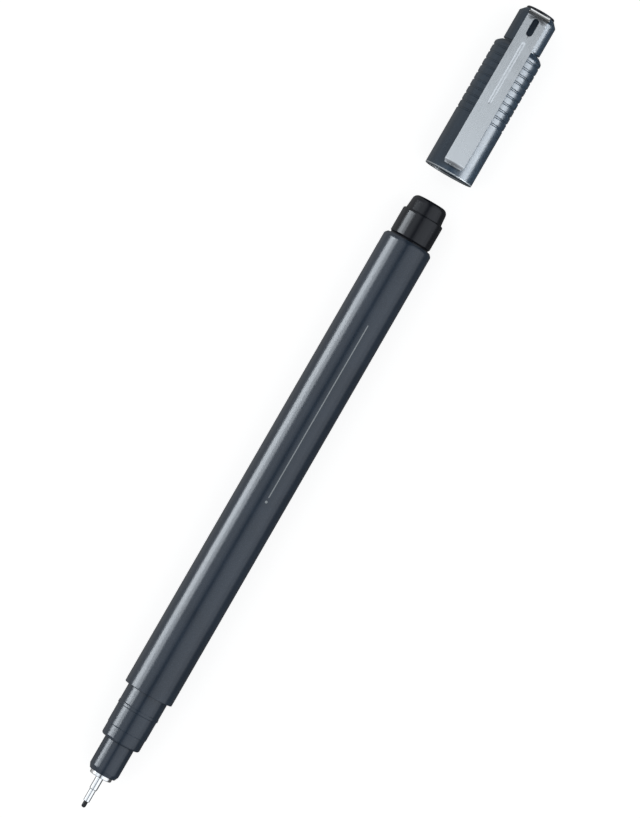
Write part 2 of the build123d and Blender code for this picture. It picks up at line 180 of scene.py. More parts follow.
class Recipe:
    """Adds shader nodes to one tree and wires them.

    STEP and ROWS lay the nodes out in the editor. The MIX numbers are the sockets of a Mix node
    that mixes colours: its amount, its two colours and its result.
    """

    STEP = (190, 160)
    ROWS = 5
    MIX_AMOUNT, MIX_FIRST, MIX_SECOND, MIX_RESULT = 0, 6, 7, 2

    def __init__(self, tree: bpy.types.NodeTree) -> None:
        """Starts on a tree that has been emptied."""
        self.tree = tree
        self.column = 0

    def add(self, kind: str, feeds: dict | None = None, **settings: object) -> bpy.types.Node:
        """Adds a node.

        Args:
            kind: The node's type name, without its ShaderNode prefix.
            feeds: Values or output sockets for its inputs, by name or number.
            settings: Properties of the node.

        Returns:
            The new node.
        """
        node = self.tree.nodes.new("ShaderNode" + kind)
        across, down = self.STEP
        node.location = (self.column * across, -(self.column % self.ROWS) * down)
        self.column += 1
        for key, value in settings.items():
            setattr(node, key, value)
        for key, value in (feeds or {}).items():
            if isinstance(value, bpy.types.NodeSocket):
                self.tree.links.new(value, node.inputs[key])
            else:
                node.inputs[key].default_value = value
        return node

    def math(self, operation: str, *values: object, clamp: bool = False) -> bpy.types.NodeSocket:
        """Adds a Math node and returns its output."""
        node = self.add("Math", dict(enumerate(values)), operation=operation, use_clamp=clamp)
        return node.outputs[0]

    def stretch(self, value: object, ramp: Ramp) -> bpy.types.NodeSocket:
        """Maps a value from one range to another, with soft ends.

        Args:
            value: The socket or number to map.
            ramp: Its own range and the range that it becomes.

        Returns:
            The clamped result.
        """
        feeds = {0: value, **dict(enumerate(ramp, 1))}
        return self.add("MapRange", feeds, interpolation_type="SMOOTHSTEP").outputs[0]

    def blend(self, amount: object, first: object, second: object) -> bpy.types.NodeSocket:
        """Mixes two colours.

        Args:
            amount: How much of the second colour shows.
            first: A colour socket or value.
            second: A colour socket or value.

        Returns:
            The mixed colour.
        """
        node = self.tree.nodes.new("ShaderNodeMix")
        node.data_type = "RGBA"
        feeds = {self.MIX_AMOUNT: amount, self.MIX_FIRST: first, self.MIX_SECOND: second}
        for number, value in feeds.items():
            if isinstance(value, bpy.types.NodeSocket):
                self.tree.links.new(value, node.inputs[number])
            elif number == self.MIX_AMOUNT:
                node.inputs[number].default_value = value
            else:
                node.inputs[number].default_value = (*value, 1)
        return node.outputs[self.MIX_RESULT]


# How far marks, flakes and wear reach, as ranges of the noise or distance that they come from, and
# the colours of dust, the painted highlight ring and film.

EDGE_TURN = Ramp(0.999, 0.94)
EDGE_PATCHES = Ramp(0.35, 0.65, 0.35, 1.0)
SMEAR = Ramp(0.3, 0.75)
SPECK = Ramp(0.04, 0.10, 1.0, 0.0)
SPECK_RARITY = 0.985
FLAKE_SPARKLE = Ramp(0.35, 1.0)
FLAKE_SHARE = Ramp(0.0, 1.0, -0.15, 0.25)
PEARL_CLOUD = Ramp(0.3, 0.7, 0.35, 0.65)
# Painted highlight: the pale ring round the cap's mouth, where its rim would catch the light.
RIM_HIGHLIGHT_REACH = Ramp(0.00009, 0.00013, 0.85, 0.0)
RIM_HIGHLIGHT_COLOUR = (0.50, 0.53, 0.55)
PALE_DUST = (0.45, 0.46, 0.47)
GREY_DUST = (0.4, 0.4, 0.4)
DRY_FIBRE = Ramp(0.35, 0.7)
THIN_INK = Ramp(0.35, 0.7)
CREASED_FILM = ((0.55, 0.58, 0.6), (0.72, 0.74, 0.76))


class Effects:
    """Node groups that several finishes share. Each is built once."""

    def __init__(self) -> None:
        """Starts with no group built."""
        self.made: dict[str, bpy.types.NodeTree] = {}

    def group(
        self, name: str, takes: dict[str, float], gives: dict[str, str]
    ) -> tuple[bpy.types.NodeTree, Recipe, bpy.types.Node, bpy.types.Node]:
        """Makes an empty node group.

        Args:
            name: The group's name.
            takes: Its float inputs with their usual values.
            gives: Its outputs with their socket types.

        Returns:
            The group, a recipe on it, its input node and its output node.
        """
        tree = bpy.data.node_groups.new(name, "ShaderNodeTree")
        for label, value in takes.items():
            socket = tree.interface.new_socket(label, in_out="INPUT", socket_type="NodeSocketFloat")
            socket.default_value = value
        for label, kind in gives.items():
            tree.interface.new_socket(label, in_out="OUTPUT", socket_type=kind)
        recipe = Recipe(tree)
        return tree, recipe, tree.nodes.new("NodeGroupInput"), tree.nodes.new("NodeGroupOutput")

    def grain(self) -> bpy.types.NodeTree:
        """Makes the group of fine moulded grain, if it isn't made yet.

        Returns:
            The group. It gives a value around 0.5, and a normal.
        """
        if "grain" not in self.made:
            takes = {"Scale": 4000.0, "Depth": 0.1, "Reach": 0.00002}
            gives = {"Value": "NodeSocketFloat", "Normal": "NodeSocketVector"}
            tree, recipe, source, result = self.group("Moulded grain", takes, gives)
            where = recipe.add("TexCoord").outputs["Object"]
            fine = recipe.add(
                "TexNoise",
                {
                    "Vector": where,
                    "Scale": source.outputs["Scale"],
                    "Detail": 3.0,
                    "Roughness": 0.6,
                },
            )
            bump = recipe.add(
                "Bump",
                {
                    "Strength": source.outputs["Depth"],
                    "Distance": source.outputs["Reach"],
                    "Height": fine.outputs["Fac"],
                },
            )
            tree.links.new(fine.outputs["Fac"], result.inputs["Value"])
            tree.links.new(bump.outputs["Normal"], result.inputs["Normal"])
            self.made["grain"] = tree
        return self.made["grain"]

    def edges(self) -> bpy.types.NodeTree:
        """Makes the group that finds edges, if it isn't made yet.

        Returns:
            The group. It gives a mask that is 1 along edges, broken up by rubbing.
        """
        if "edges" not in self.made:
            takes = {"Width": 0.00012, "Amount": 1.0}
            tree, recipe, source, result = self.group(
                "Rubbed edges", takes, {"Mask": "NodeSocketFloat"}
            )
            rounded = recipe.add("Bevel", {"Radius": source.outputs["Width"]}, samples=6)
            shape = recipe.add("NewGeometry")
            facing = recipe.add(
                "VectorMath",
                {0: rounded.outputs[0], 1: shape.outputs["Normal"]},
                operation="DOT_PRODUCT",
            )
            edge = recipe.stretch(facing.outputs["Value"], EDGE_TURN)
            where = recipe.add("TexCoord").outputs["Object"]
            patches = recipe.add("TexNoise", {"Vector": where, "Scale": 900.0, "Detail": 4.0})
            broken = recipe.stretch(patches.outputs["Fac"], EDGE_PATCHES)
            mask = recipe.math("MULTIPLY", edge, broken)
            mask = recipe.math("MULTIPLY", mask, source.outputs["Amount"], clamp=True)
            tree.links.new(mask, result.inputs["Mask"])
            self.made["edges"] = tree
        return self.made["edges"]

    def handling(self) -> bpy.types.NodeTree:
        """Makes the group of faint handling marks, if it isn't made yet.

        Returns:
            The group. It gives smudges, and fine dust specks.
        """
        if "handling" not in self.made:
            takes = {"Smudge": 1.0, "Dust": 1.0}
            gives = {"Smudge": "NodeSocketFloat", "Dust": "NodeSocketFloat"}
            tree, recipe, source, result = self.group("Handling marks", takes, gives)
            where = recipe.add("TexCoord").outputs["Object"]
            wide = recipe.add(
                "TexNoise",
                {
                    "Vector": where,
                    "Scale": 160.0,
                    "Detail": 5.0,
                    "Roughness": 0.65,
                    "Distortion": 0.6,
                },
            )
            smear = recipe.stretch(wide.outputs["Fac"], SMEAR)
            smear = recipe.math("MULTIPLY", smear, source.outputs["Smudge"])
            specks = recipe.add("TexVoronoi", {"Vector": where, "Scale": 1500.0})
            dot = recipe.stretch(specks.outputs["Distance"], SPECK)
            rare = recipe.add("TexWhiteNoise", {"Vector": specks.outputs["Position"]})
            few = recipe.math("GREATER_THAN", rare.outputs["Value"], SPECK_RARITY)
            dust = recipe.math("MULTIPLY", dot, few)
            dust = recipe.math("MULTIPLY", dust, source.outputs["Dust"])
            tree.links.new(smear, result.inputs["Smudge"])
            tree.links.new(dust, result.inputs["Dust"])
            self.made["handling"] = tree
        return self.made["handling"]

    def lines(self) -> bpy.types.NodeTree:
        """Makes the group of fine lines that brushing or turning leaves, if it isn't made yet.

        Returns:
            The group. It gives the lines as a value, and a normal.
        """
        if "lines" not in self.made:
            takes = {"Along X": 40.0, "Across": 6000.0, "Depth": 0.2, "Reach": 0.00001}
            gives = {"Value": "NodeSocketFloat", "Normal": "NodeSocketVector"}
            tree, recipe, source, result = self.group("Tool lines", takes, gives)
            where = recipe.add("TexCoord").outputs["Object"]
            across = source.outputs["Across"]
            scale = recipe.add(
                "CombineXYZ", {"X": source.outputs["Along X"], "Y": across, "Z": across}
            )
            drawn = recipe.add("VectorMath", {0: where, 1: scale.outputs[0]}, operation="MULTIPLY")
            noise = recipe.add(
                "TexNoise",
                {"Vector": drawn.outputs[0], "Scale": 1.0, "Detail": 4.0, "Roughness": 0.7},
            )
            bump = recipe.add(
                "Bump",
                {
                    "Strength": source.outputs["Depth"],
                    "Distance": source.outputs["Reach"],
                    "Height": noise.outputs["Fac"],
                },
            )
            tree.links.new(noise.outputs["Fac"], result.inputs["Value"])
            tree.links.new(bump.outputs["Normal"], result.inputs["Normal"])
            self.made["lines"] = tree
        return self.made["lines"]


EFFECTS = Effects()


def bench(
    name: str, settings: dict[str, object]
) -> tuple[bpy.types.Material, Recipe, bpy.types.Node]:
    """Makes a material that holds one plain Principled shader.

    Args:
        name: The material's name.
        settings: Constant values for the shader's sockets.

    Returns:
        The material, a recipe on its tree and the shader.
    """
    material = bpy.data.materials.new(name)
    material.use_nodes = True
    tree = material.node_tree
    tree.nodes.clear()
    recipe = Recipe(tree)
    shader = recipe.add("BsdfPrincipled", settings)
    recipe.add("OutputMaterial", {"Surface": shader.outputs[0]})
    return material, recipe, shader


def use(recipe: Recipe, tree: bpy.types.NodeTree, feeds: dict[str, object]) -> bpy.types.Node:
    """Places a node group in a material and returns its node."""
    return recipe.add("Group", feeds, node_tree=tree)


# ---------------------------------------------------------------------------------------------
# Finishes
# ---------------------------------------------------------------------------------------------


@dataclass(frozen=True)
class PearlPlastic:
    """Moulded plastic with a pearl pigment: dark slate with fine paler flakes that swirl.

    A narrow ring at a place along X, in metres, can be painted pale as a highlight. Clean is how
    much less rough the plastic is where it's clean, and smudged how much rougher where it's
    smudged.
    """

    name: str
    deep: Colour
    pearl: Colour
    roughness: float = 0.20
    clean: float = 0.01
    smudged: float = 0.02
    gloss: float = 0.5
    rubbed: float = 0.35
    rim_highlight_x: float = 0.0

    def material(self) -> bpy.types.Material:
        """Mixes the finish.

        Returns:
            The material.
        """
        settings = {"Specular IOR Level": self.gloss, "IOR": 1.5}
        material, recipe, shader = bench(self.name, settings)
        grain = use(recipe, EFFECTS.grain(), {"Scale": 5200.0, "Depth": 0.05, "Reach": 0.000004})
        marks = use(recipe, EFFECTS.handling(), {"Smudge": 1.0, "Dust": 0.3})
        edges = use(recipe, EFFECTS.edges(), {"Width": 0.00011, "Amount": self.rubbed})
        where = recipe.add("TexCoord").outputs["Object"]
        flakes = recipe.add("TexVoronoi", {"Vector": where, "Scale": 9000.0})
        sparkle = recipe.stretch(flakes.outputs["Color"], FLAKE_SPARKLE)
        flow = recipe.add(
            "TexNoise", {"Vector": where, "Scale": 70.0, "Detail": 3.0, "Distortion": 1.5}
        )
        cloud = recipe.stretch(flow.outputs["Fac"], PEARL_CLOUD)
        amount = recipe.math("ADD", cloud, recipe.stretch(sparkle, FLAKE_SHARE), clamp=True)
        colour = recipe.blend(amount, self.deep, self.pearl)
        colour = recipe.blend(edges.outputs["Mask"], colour, tone(self.pearl, gain=1.8, lift=0.006))
        # Painted highlight: a narrow pale ring where the cap's mouth rim would catch the light.
        if self.rim_highlight_x:
            parts = recipe.add("SeparateXYZ", {0: where})
            off = recipe.math("ABSOLUTE", recipe.math("SUBTRACT", parts.outputs["X"], self.rim_highlight_x))
            rim_highlight = recipe.stretch(off, RIM_HIGHLIGHT_REACH)
            colour = recipe.blend(rim_highlight, colour, RIM_HIGHLIGHT_COLOUR)
        colour = recipe.blend(marks.outputs["Dust"], colour, PALE_DUST)
        recipe.tree.links.new(colour, shader.inputs["Base Color"])
        smeared = Ramp(0.0, 1.0, self.roughness - self.clean, self.roughness + self.smudged)
        rough = recipe.stretch(marks.outputs["Smudge"], smeared)
        recipe.tree.links.new(rough, shader.inputs["Roughness"])
        recipe.tree.links.new(grain.outputs["Normal"], shader.inputs["Normal"])
        return material


@dataclass(frozen=True)
class PlainPlastic:
    """Moulded plastic of one colour, with grain, smudges and worn edges.

    Clean is how much less rough it is where it's clean, and smudged how much rougher where it's
    smudged. Softness is how much light goes through it.
    """

    name: str
    colour: Colour
    roughness: float
    gloss: float
    clean: float = 0.01
    smudged: float = 0.03
    rubbed: float = 0.4
    softness: float = 0.0

    def material(self) -> bpy.types.Material:
        """Mixes the finish.

        Returns:
            The material.
        """
        settings = {"Specular IOR Level": self.gloss, "IOR": 1.5}
        if self.softness:
            settings["Subsurface Weight"] = self.softness
            settings["Subsurface Radius"] = (0.001, 0.0009, 0.0008)
            settings["Subsurface Scale"] = 0.3
        material, recipe, shader = bench(self.name, settings)
        grain = use(recipe, EFFECTS.grain(), {"Scale": 4200.0, "Depth": 0.08, "Reach": 0.000005})
        marks = use(recipe, EFFECTS.handling(), {"Smudge": 1.0, "Dust": 0.6})
        edges = use(recipe, EFFECTS.edges(), {"Width": 0.0001, "Amount": self.rubbed})
        darker, paler = tone(self.colour, gain=0.9), tone(self.colour, gain=1.1)
        colour = recipe.blend(grain.outputs["Value"], darker, paler)
        worn = tone(self.colour, gain=2.0, lift=0.015)
        colour = recipe.blend(edges.outputs["Mask"], colour, worn)
        colour = recipe.blend(marks.outputs["Dust"], colour, GREY_DUST)
        recipe.tree.links.new(colour, shader.inputs["Base Color"])
        smeared = Ramp(0.0, 1.0, self.roughness - self.clean, self.roughness + self.smudged)
        rough = recipe.stretch(marks.outputs["Smudge"], smeared)
        recipe.tree.links.new(rough, shader.inputs["Roughness"])
        recipe.tree.links.new(grain.outputs["Normal"], shader.inputs["Normal"])
        return material


@dataclass(frozen=True)
class WorkedMetal:
    """Steel with tool lines: turned and polished, or brushed and plated.

    Along and across are how fine the lines are in both directions, and depth how deep they look.
    The roughness grows by up to spread in the lines, and by up to smudged where it's handled.
    """

    name: str
    colour: Colour
    roughness: float
    spread: float
    along: float
    across: float
    depth: float
    smudged: float = 0.07
    rubbed: float = 0.5

    def material(self) -> bpy.types.Material:
        """Mixes the finish.

        Returns:
            The material.
        """
        material, recipe, shader = bench(self.name, {"Metallic": 1.0})
        lines = use(
            recipe,
            EFFECTS.lines(),
            {"Along X": self.along, "Across": self.across, "Depth": self.depth},
        )
        marks = use(recipe, EFFECTS.handling(), {"Smudge": 1.0, "Dust": 0.3})
        edges = use(recipe, EFFECTS.edges(), {"Width": 0.00012, "Amount": self.rubbed})
        darker, paler = tone(self.colour, gain=0.93), tone(self.colour, gain=1.06)
        colour = recipe.blend(lines.outputs["Value"], darker, paler)
        colour = recipe.blend(edges.outputs["Mask"], colour, tone(self.colour, gain=1.25))
        recipe.tree.links.new(colour, shader.inputs["Base Color"])
        worn = recipe.math("MULTIPLY", lines.outputs["Value"], self.spread)
        smeared = Ramp(0.0, 1.0, self.roughness, self.roughness + self.smudged)
        worn = recipe.math("ADD", worn, recipe.stretch(marks.outputs["Smudge"], smeared))
        recipe.tree.links.new(worn, shader.inputs["Roughness"])
        recipe.tree.links.new(lines.outputs["Normal"], shader.inputs["Normal"])
        return material


@dataclass(frozen=True)
class InkedFibre:
    """Bonded fibre or a porous point, dark and uneven with ink.

    It is less rough by up to sleek where the ink lies, and rougher by up to coarse where it's dry.
    """

    name: str
    wet: Colour
    dry: Colour
    roughness: float
    scale: float
    sleek: float = 0.12
    coarse: float = 0.1

    def material(self) -> bpy.types.Material:
        """Mixes the finish.

        Returns:
            The material.
        """
        material, recipe, shader = bench(self.name, {"Specular IOR Level": 0.3})
        where = recipe.add("TexCoord").outputs["Object"]
        drawn = recipe.add("VectorMath", {0: where, 1: (0.08, 1.0, 1.0)}, operation="MULTIPLY")
        fibres = recipe.add(
            "TexNoise",
            {"Vector": drawn.outputs[0], "Scale": self.scale, "Detail": 5.0, "Roughness": 0.7},
        )
        dried = recipe.stretch(fibres.outputs["Fac"], DRY_FIBRE)
        colour = recipe.blend(dried, self.wet, self.dry)
        recipe.tree.links.new(colour, shader.inputs["Base Color"])
        uneven = Ramp(0.3, 0.7, self.roughness - self.sleek, self.roughness + self.coarse)
        rough = recipe.stretch(fibres.outputs["Fac"], uneven)
        recipe.tree.links.new(rough, shader.inputs["Roughness"])
        bump = recipe.add(
            "Bump", {"Strength": 0.4, "Distance": 0.00003, "Height": fibres.outputs["Fac"]}
        )
        recipe.tree.links.new(bump.outputs["Normal"], shader.inputs["Normal"])
        return material


@dataclass(frozen=True)
class ClearFilm:
    """Thin clear wrap with faint creases."""

    name: str

    def material(self) -> bpy.types.Material:
        """Mixes the finish.

        Returns:
            The material.
        """
        material, recipe, shader = bench(self.name, {"Alpha": 0.5, "Roughness": 0.12})
        where = recipe.add("TexCoord").outputs["Object"]
        creases = recipe.add(
            "TexNoise", {"Vector": where, "Scale": 350.0, "Detail": 4.0, "Distortion": 2.0}
        )
        colour = recipe.blend(creases.outputs["Fac"], *CREASED_FILM)
        recipe.tree.links.new(colour, shader.inputs["Base Color"])
        bump = recipe.add(
            "Bump", {"Strength": 0.3, "Distance": 0.00005, "Height": creases.outputs["Fac"]}
        )
        recipe.tree.links.new(bump.outputs["Normal"], shader.inputs["Normal"])
        return material


@dataclass(frozen=True)
class PrintInk:
    """Pale pad-printed ink, a little thin in places."""

    name: str
    colour: Colour

    def material(self) -> bpy.types.Material:
        """Mixes the finish.

        Returns:
            The material.
        """
        material, recipe, shader = bench(self.name, {"Specular IOR Level": 0.35})
        grain = use(recipe, EFFECTS.grain(), {"Scale": 9000.0, "Depth": 0.2, "Reach": 0.00001})
        thin = recipe.stretch(grain.outputs["Value"], THIN_INK)
        colour = recipe.blend(thin, tone(self.colour, gain=0.75), self.colour)
        recipe.tree.links.new(colour, shader.inputs["Base Color"])
        rough = recipe.stretch(thin, Ramp(0.0, 1.0, 0.6, 0.45))
        recipe.tree.links.new(rough, shader.inputs["Roughness"])
        recipe.tree.links.new(grain.outputs["Normal"], shader.inputs["Normal"])
        return material


@dataclass
class Paintbox:
    """Every finish of the pen, mixed once."""

    barrel: PearlPlastic = PearlPlastic("slate_pearl", (0.023, 0.036, 0.056), (0.047, 0.071, 0.108))
    # The cap's finish has a pale ring painted on its mouth as a highlight.
    cap: PearlPlastic = PearlPlastic(
        "slate_pearl_cap", (0.020, 0.036, 0.055), (0.041, 0.071, 0.108), roughness=0.27, rim_highlight_x=0.05079
    )
    black: PlainPlastic = PlainPlastic(
        "black_gloss", (0.014, 0.016, 0.022), roughness=0.20, gloss=0.3
    )
    tip: WorkedMetal = WorkedMetal(
        "polished_tip_steel",
        (0.80, 0.81, 0.81),
        roughness=0.08,
        spread=0.06,
        along=9000.0,
        across=60.0,
        depth=0.08,
    )
    clip: WorkedMetal = WorkedMetal(
        "satin_clip_plate",
        (0.58, 0.60, 0.615),
        roughness=0.19,
        spread=0.10,
        along=90.0,
        across=7000.0,
        depth=0.08,
    )
    nib: InkedFibre = InkedFibre(
        "inked_point", shade(24, 25, 27), shade(62, 64, 66), roughness=0.55, scale=6000.0
    )
    inner: PlainPlastic = PlainPlastic(
        "natural_polymer",
        (0.62, 0.64, 0.62),
        roughness=0.42,
        gloss=0.4,
        rubbed=0.1,
        softness=0.4,
    )
    fibre: InkedFibre = InkedFibre(
        "ink_soaked_fibre",
        (0.006, 0.006, 0.009),
        (0.03, 0.03, 0.036),
        roughness=0.75,
        scale=3500.0,
    )
    film: ClearFilm = ClearFilm("clear_wrap")
    ink: PrintInk = PrintInk("pale_print", (0.55, 0.60, 0.63))
    mixed: dict[str, bpy.types.Material] = field(default_factory=dict)

    def take(self, finish: object) -> bpy.types.Material:
        """Finds the material of a finish and mixes it the first time.

        Args:
            finish: One of the finishes above.

        Returns:
            Its material.
        """
        if finish.name not in self.mixed:
            self.mixed[finish.name] = finish.material()
        return self.mixed[finish.name]


# ---------------------------------------------------------------------------------------------
# Making meshes
# ---------------------------------------------------------------------------------------------

# WELD is how close the points of a turned piece merge, in metres. An edge of an outline is split
# near its ends only where it is longer than LONG_EDGE gaps.

WELD = 1e-7
LONG_EDGE = 3.5


class Corner(NamedTuple):
    """A corner of a half section: where it is, and how far its rounding reaches, in mm."""

    station: float
    radius: float
    rounding: float = 0.0


def rounded_outline(
    bm: bmesh.types.BMesh, points: Sequence[Vector], cuts: Sequence[float], segments: int
) -> None:
    """Draws a closed outline as one face and rounds its corners.

    Args:
        bm: The mesh to draw in.
        points: The corners in order.
        cuts: How far each corner's rounding reaches, in mm.
        segments: Steps in each rounding.
    """
    corners = [bm.verts.new(point) for point in points]
    bm.faces.new(corners)
    for reach in sorted({c for c in cuts if c > 0}):
        bmesh.ops.bevel(
            bm,
            geom=[v for v, c in zip(corners, cuts) if c == reach],
            offset=reach * MM,
            offset_type="OFFSET",
            segments=segments,
            profile=0.5,
            affect="VERTICES",
            clamp_overlap=True,
            material=-1,
        )


def hold_edges(bm: bmesh.types.BMesh, gap: float) -> None:
    """Splits the long edges of an outline near their ends, so that shading stays flat between.

    Args:
        bm: The mesh with the outline's edges.
        gap: Distance of each split from the edge's end, in mm.
    """
    reach = gap * MM
    for edge in [e for e in bm.edges if e.calc_length() > LONG_EDGE * reach]:
        first, last = edge.verts
        length = edge.calc_length()
        rest, _ = bmesh.utils.edge_split(edge, first, reach / length)
        far = rest if last in rest.verts else edge
        bmesh.utils.edge_split(far, last, reach / far.calc_length())


def spin_round(bm: bmesh.types.BMesh, sides: int) -> None:
    """Turns the outline's edges all the way round the pen's axis and closes the poles.

    Args:
        bm: The mesh that holds only the outline's edges.
        sides: Flats in a full turn.
    """
    bmesh.ops.spin(
        bm,
        geom=list(bm.verts) + list(bm.edges),
        cent=place(0, 0, 0),
        axis=(1, 0, 0),
        dvec=(0, 0, 0),
        angle=2 * math.pi,
        steps=sides,
        use_merge=True,
        use_normal_flip=False,
        use_duplicate=False,
    )
    bmesh.ops.remove_doubles(bm, verts=list(bm.verts), dist=WELD)
    bmesh.ops.recalc_face_normals(bm, faces=list(bm.faces))


def turned(
    corners: Iterable[Corner], fineness: Fineness, segments: int = 4, gap: float = 0.06
) -> bmesh.types.BMesh:
    """Turns a piece from its half section.

    Args:
        corners: The half section in order. It may touch the axis.
        fineness: How many flats go round the piece.
        segments: Steps in each rounding.
        gap: Distance of the holding rings from the edges, in mm.

    Returns:
        The turned piece.
    """
    section = list(corners)
    bm = bmesh.new()
    points = [place(c.station, 0, c.radius) for c in section]
    rounded_outline(bm, points, [c.rounding for c in section], segments)
    bmesh.ops.delete(bm, geom=list(bm.faces), context="FACES_ONLY")
    level = AXIS_HEIGHT * MM
    on_axis = [e for e in bm.edges if all(abs(v.co.z - level) < TINY for v in e.verts)]
    bmesh.ops.delete(bm, geom=on_axis, context="EDGES")
    hold_edges(bm, gap)
    spin_round(bm, fineness.value)
    return bm


def add_box(bm: bmesh.types.BMesh, low: Vector, high: Vector, turn: float = 0.0) -> None:
    """Adds a box to a mesh and turns it round the pen's axis.

    Args:
        bm: The mesh.
        low: The box's lower corner, in the row frame.
        high: Its upper corner.
        turn: How far it is turned round the axis, in radians.
    """
    cube = bmesh.ops.create_cube(bm, size=1.0)["verts"]
    bmesh.ops.scale(bm, vec=high - low, verts=cube)
    bmesh.ops.translate(bm, vec=(low + high) / 2, verts=cube)
    if turn:
        turned_by = Matrix.Rotation(turn, 3, "X")
        bmesh.ops.rotate(bm, cent=place(0, 0, 0), matrix=turned_by, verts=cube)


def extrude_faces(
    bm: bmesh.types.BMesh, faces: Iterable[bmesh.types.BMFace], by: Vector
) -> list[bmesh.types.BMVert]:
    """Extrudes faces into a block.

    Args:
        bm: The mesh.
        faces: The faces to extrude.
        by: How far the block reaches, in metres.

    Returns:
        The corners of its far end.
    """
    made = bmesh.ops.extrude_face_region(bm, geom=list(faces))["geom"]
    moved = [v for v in made if isinstance(v, bmesh.types.BMVert)]
    bmesh.ops.translate(bm, vec=by, verts=moved)
    bmesh.ops.recalc_face_normals(bm, faces=list(bm.faces))
    return moved


def as_object(name: str, bm: bmesh.types.BMesh, sharp: float = CREASE) -> bpy.types.Object:
    """Turns a bmesh into a shown object at the origin.

    Args:
        name: The piece's name.
        bm: Its mesh, which is used up.
        sharp: Edges that turn by more than this, in degrees, stay crisp.

    Returns:
        The object.
    """
    mesh = bpy.data.meshes.new(name)
    for face in bm.faces:
        face.smooth = True
    bm.to_mesh(mesh)
    bm.free()
    mesh.set_sharp_from_angle(angle=math.radians(sharp))
    piece = bpy.data.objects.new(name, mesh)
    bpy.context.scene.collection.objects.link(piece)
    return piece


def settle(piece: bpy.types.Object, sharp: float = CREASE) -> None:
    """Applies a piece's modifiers to its mesh.

    Args:
        piece: The object.
        sharp: Edges that turn by more than this, in degrees, stay crisp.
    """
    bpy.context.view_layer.update()
    graph = bpy.context.evaluated_depsgraph_get()
    mesh = bpy.data.meshes.new_from_object(piece.evaluated_get(graph))
    piece.modifiers.clear()
    old = piece.data
    piece.data = mesh
    bpy.data.meshes.remove(old)
    mesh.name = piece.name
    for polygon in mesh.polygons:
        polygon.use_smooth = True
    mesh.set_sharp_from_angle(angle=math.radians(sharp))


def flatten_large(piece: bpy.types.Object, area: float) -> None:
    """Shades a piece's large faces flat, so that its rounded edges don't tint them.

    Args:
        piece: The object.
        area: Faces larger than this are flat, in square mm.
    """
    for polygon in piece.data.polygons:
        if polygon.area > area * MM * MM:
            polygon.use_smooth = False


def shape_with(
    piece: bpy.types.Object, tools: Sequence[bmesh.types.BMesh], join: Join = Join.CUT
) -> None:
    """Cuts tools out of a piece, adds them to it or trims it to them.

    Args:
        piece: The object to shape.
        tools: The tools, which are used up.
        join: What the tools do.
    """
    cutters = []
    for number, tool in enumerate(tools):
        bmesh.ops.recalc_face_normals(tool, faces=list(tool.faces))
        cutter = as_object(f"{piece.name}_tool_{number}", tool)
        cutters.append(cutter)
        change = piece.modifiers.new(f"cut_{number}", "BOOLEAN")
        change.operation = join.value
        change.solver = "EXACT"
        change.object = cutter
    settle(piece)
    for cutter in cutters:
        bpy.data.objects.remove(cutter)


def finish_piece(
    piece: bpy.types.Object,
    body: Body,
    material: bpy.types.Material,
    nodes: Sequence[str] = (),
) -> bpy.types.Object:
    """Dresses a piece and puts it on its body.

    Args:
        piece: The object.
        body: The body that it rides on.
        material: Its material.
        nodes: The CAD nodes that it stands for.

    Returns:
        The same object.
    """
    piece.data.materials.clear()
    piece.data.materials.append(material)
    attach(piece, body.value)
    if nodes:
        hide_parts(*nodes)
    log.info("%s rides on %s: %d faces", piece.name, body.value, len(piece.data.polygons))
    return piece


def dress_node(name: str, material: bpy.types.Material) -> None:
    """Gives a kept CAD node its material and logs it.

    Args:
        name: The node's name.
        material: Its material.
    """
    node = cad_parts[name]
    node.data.materials.clear()
    node.data.materials.append(material)
    log.info("%s keeps its shape from the frame", name)


# ---------------------------------------------------------------------------------------------
# The pen
# ---------------------------------------------------------------------------------------------


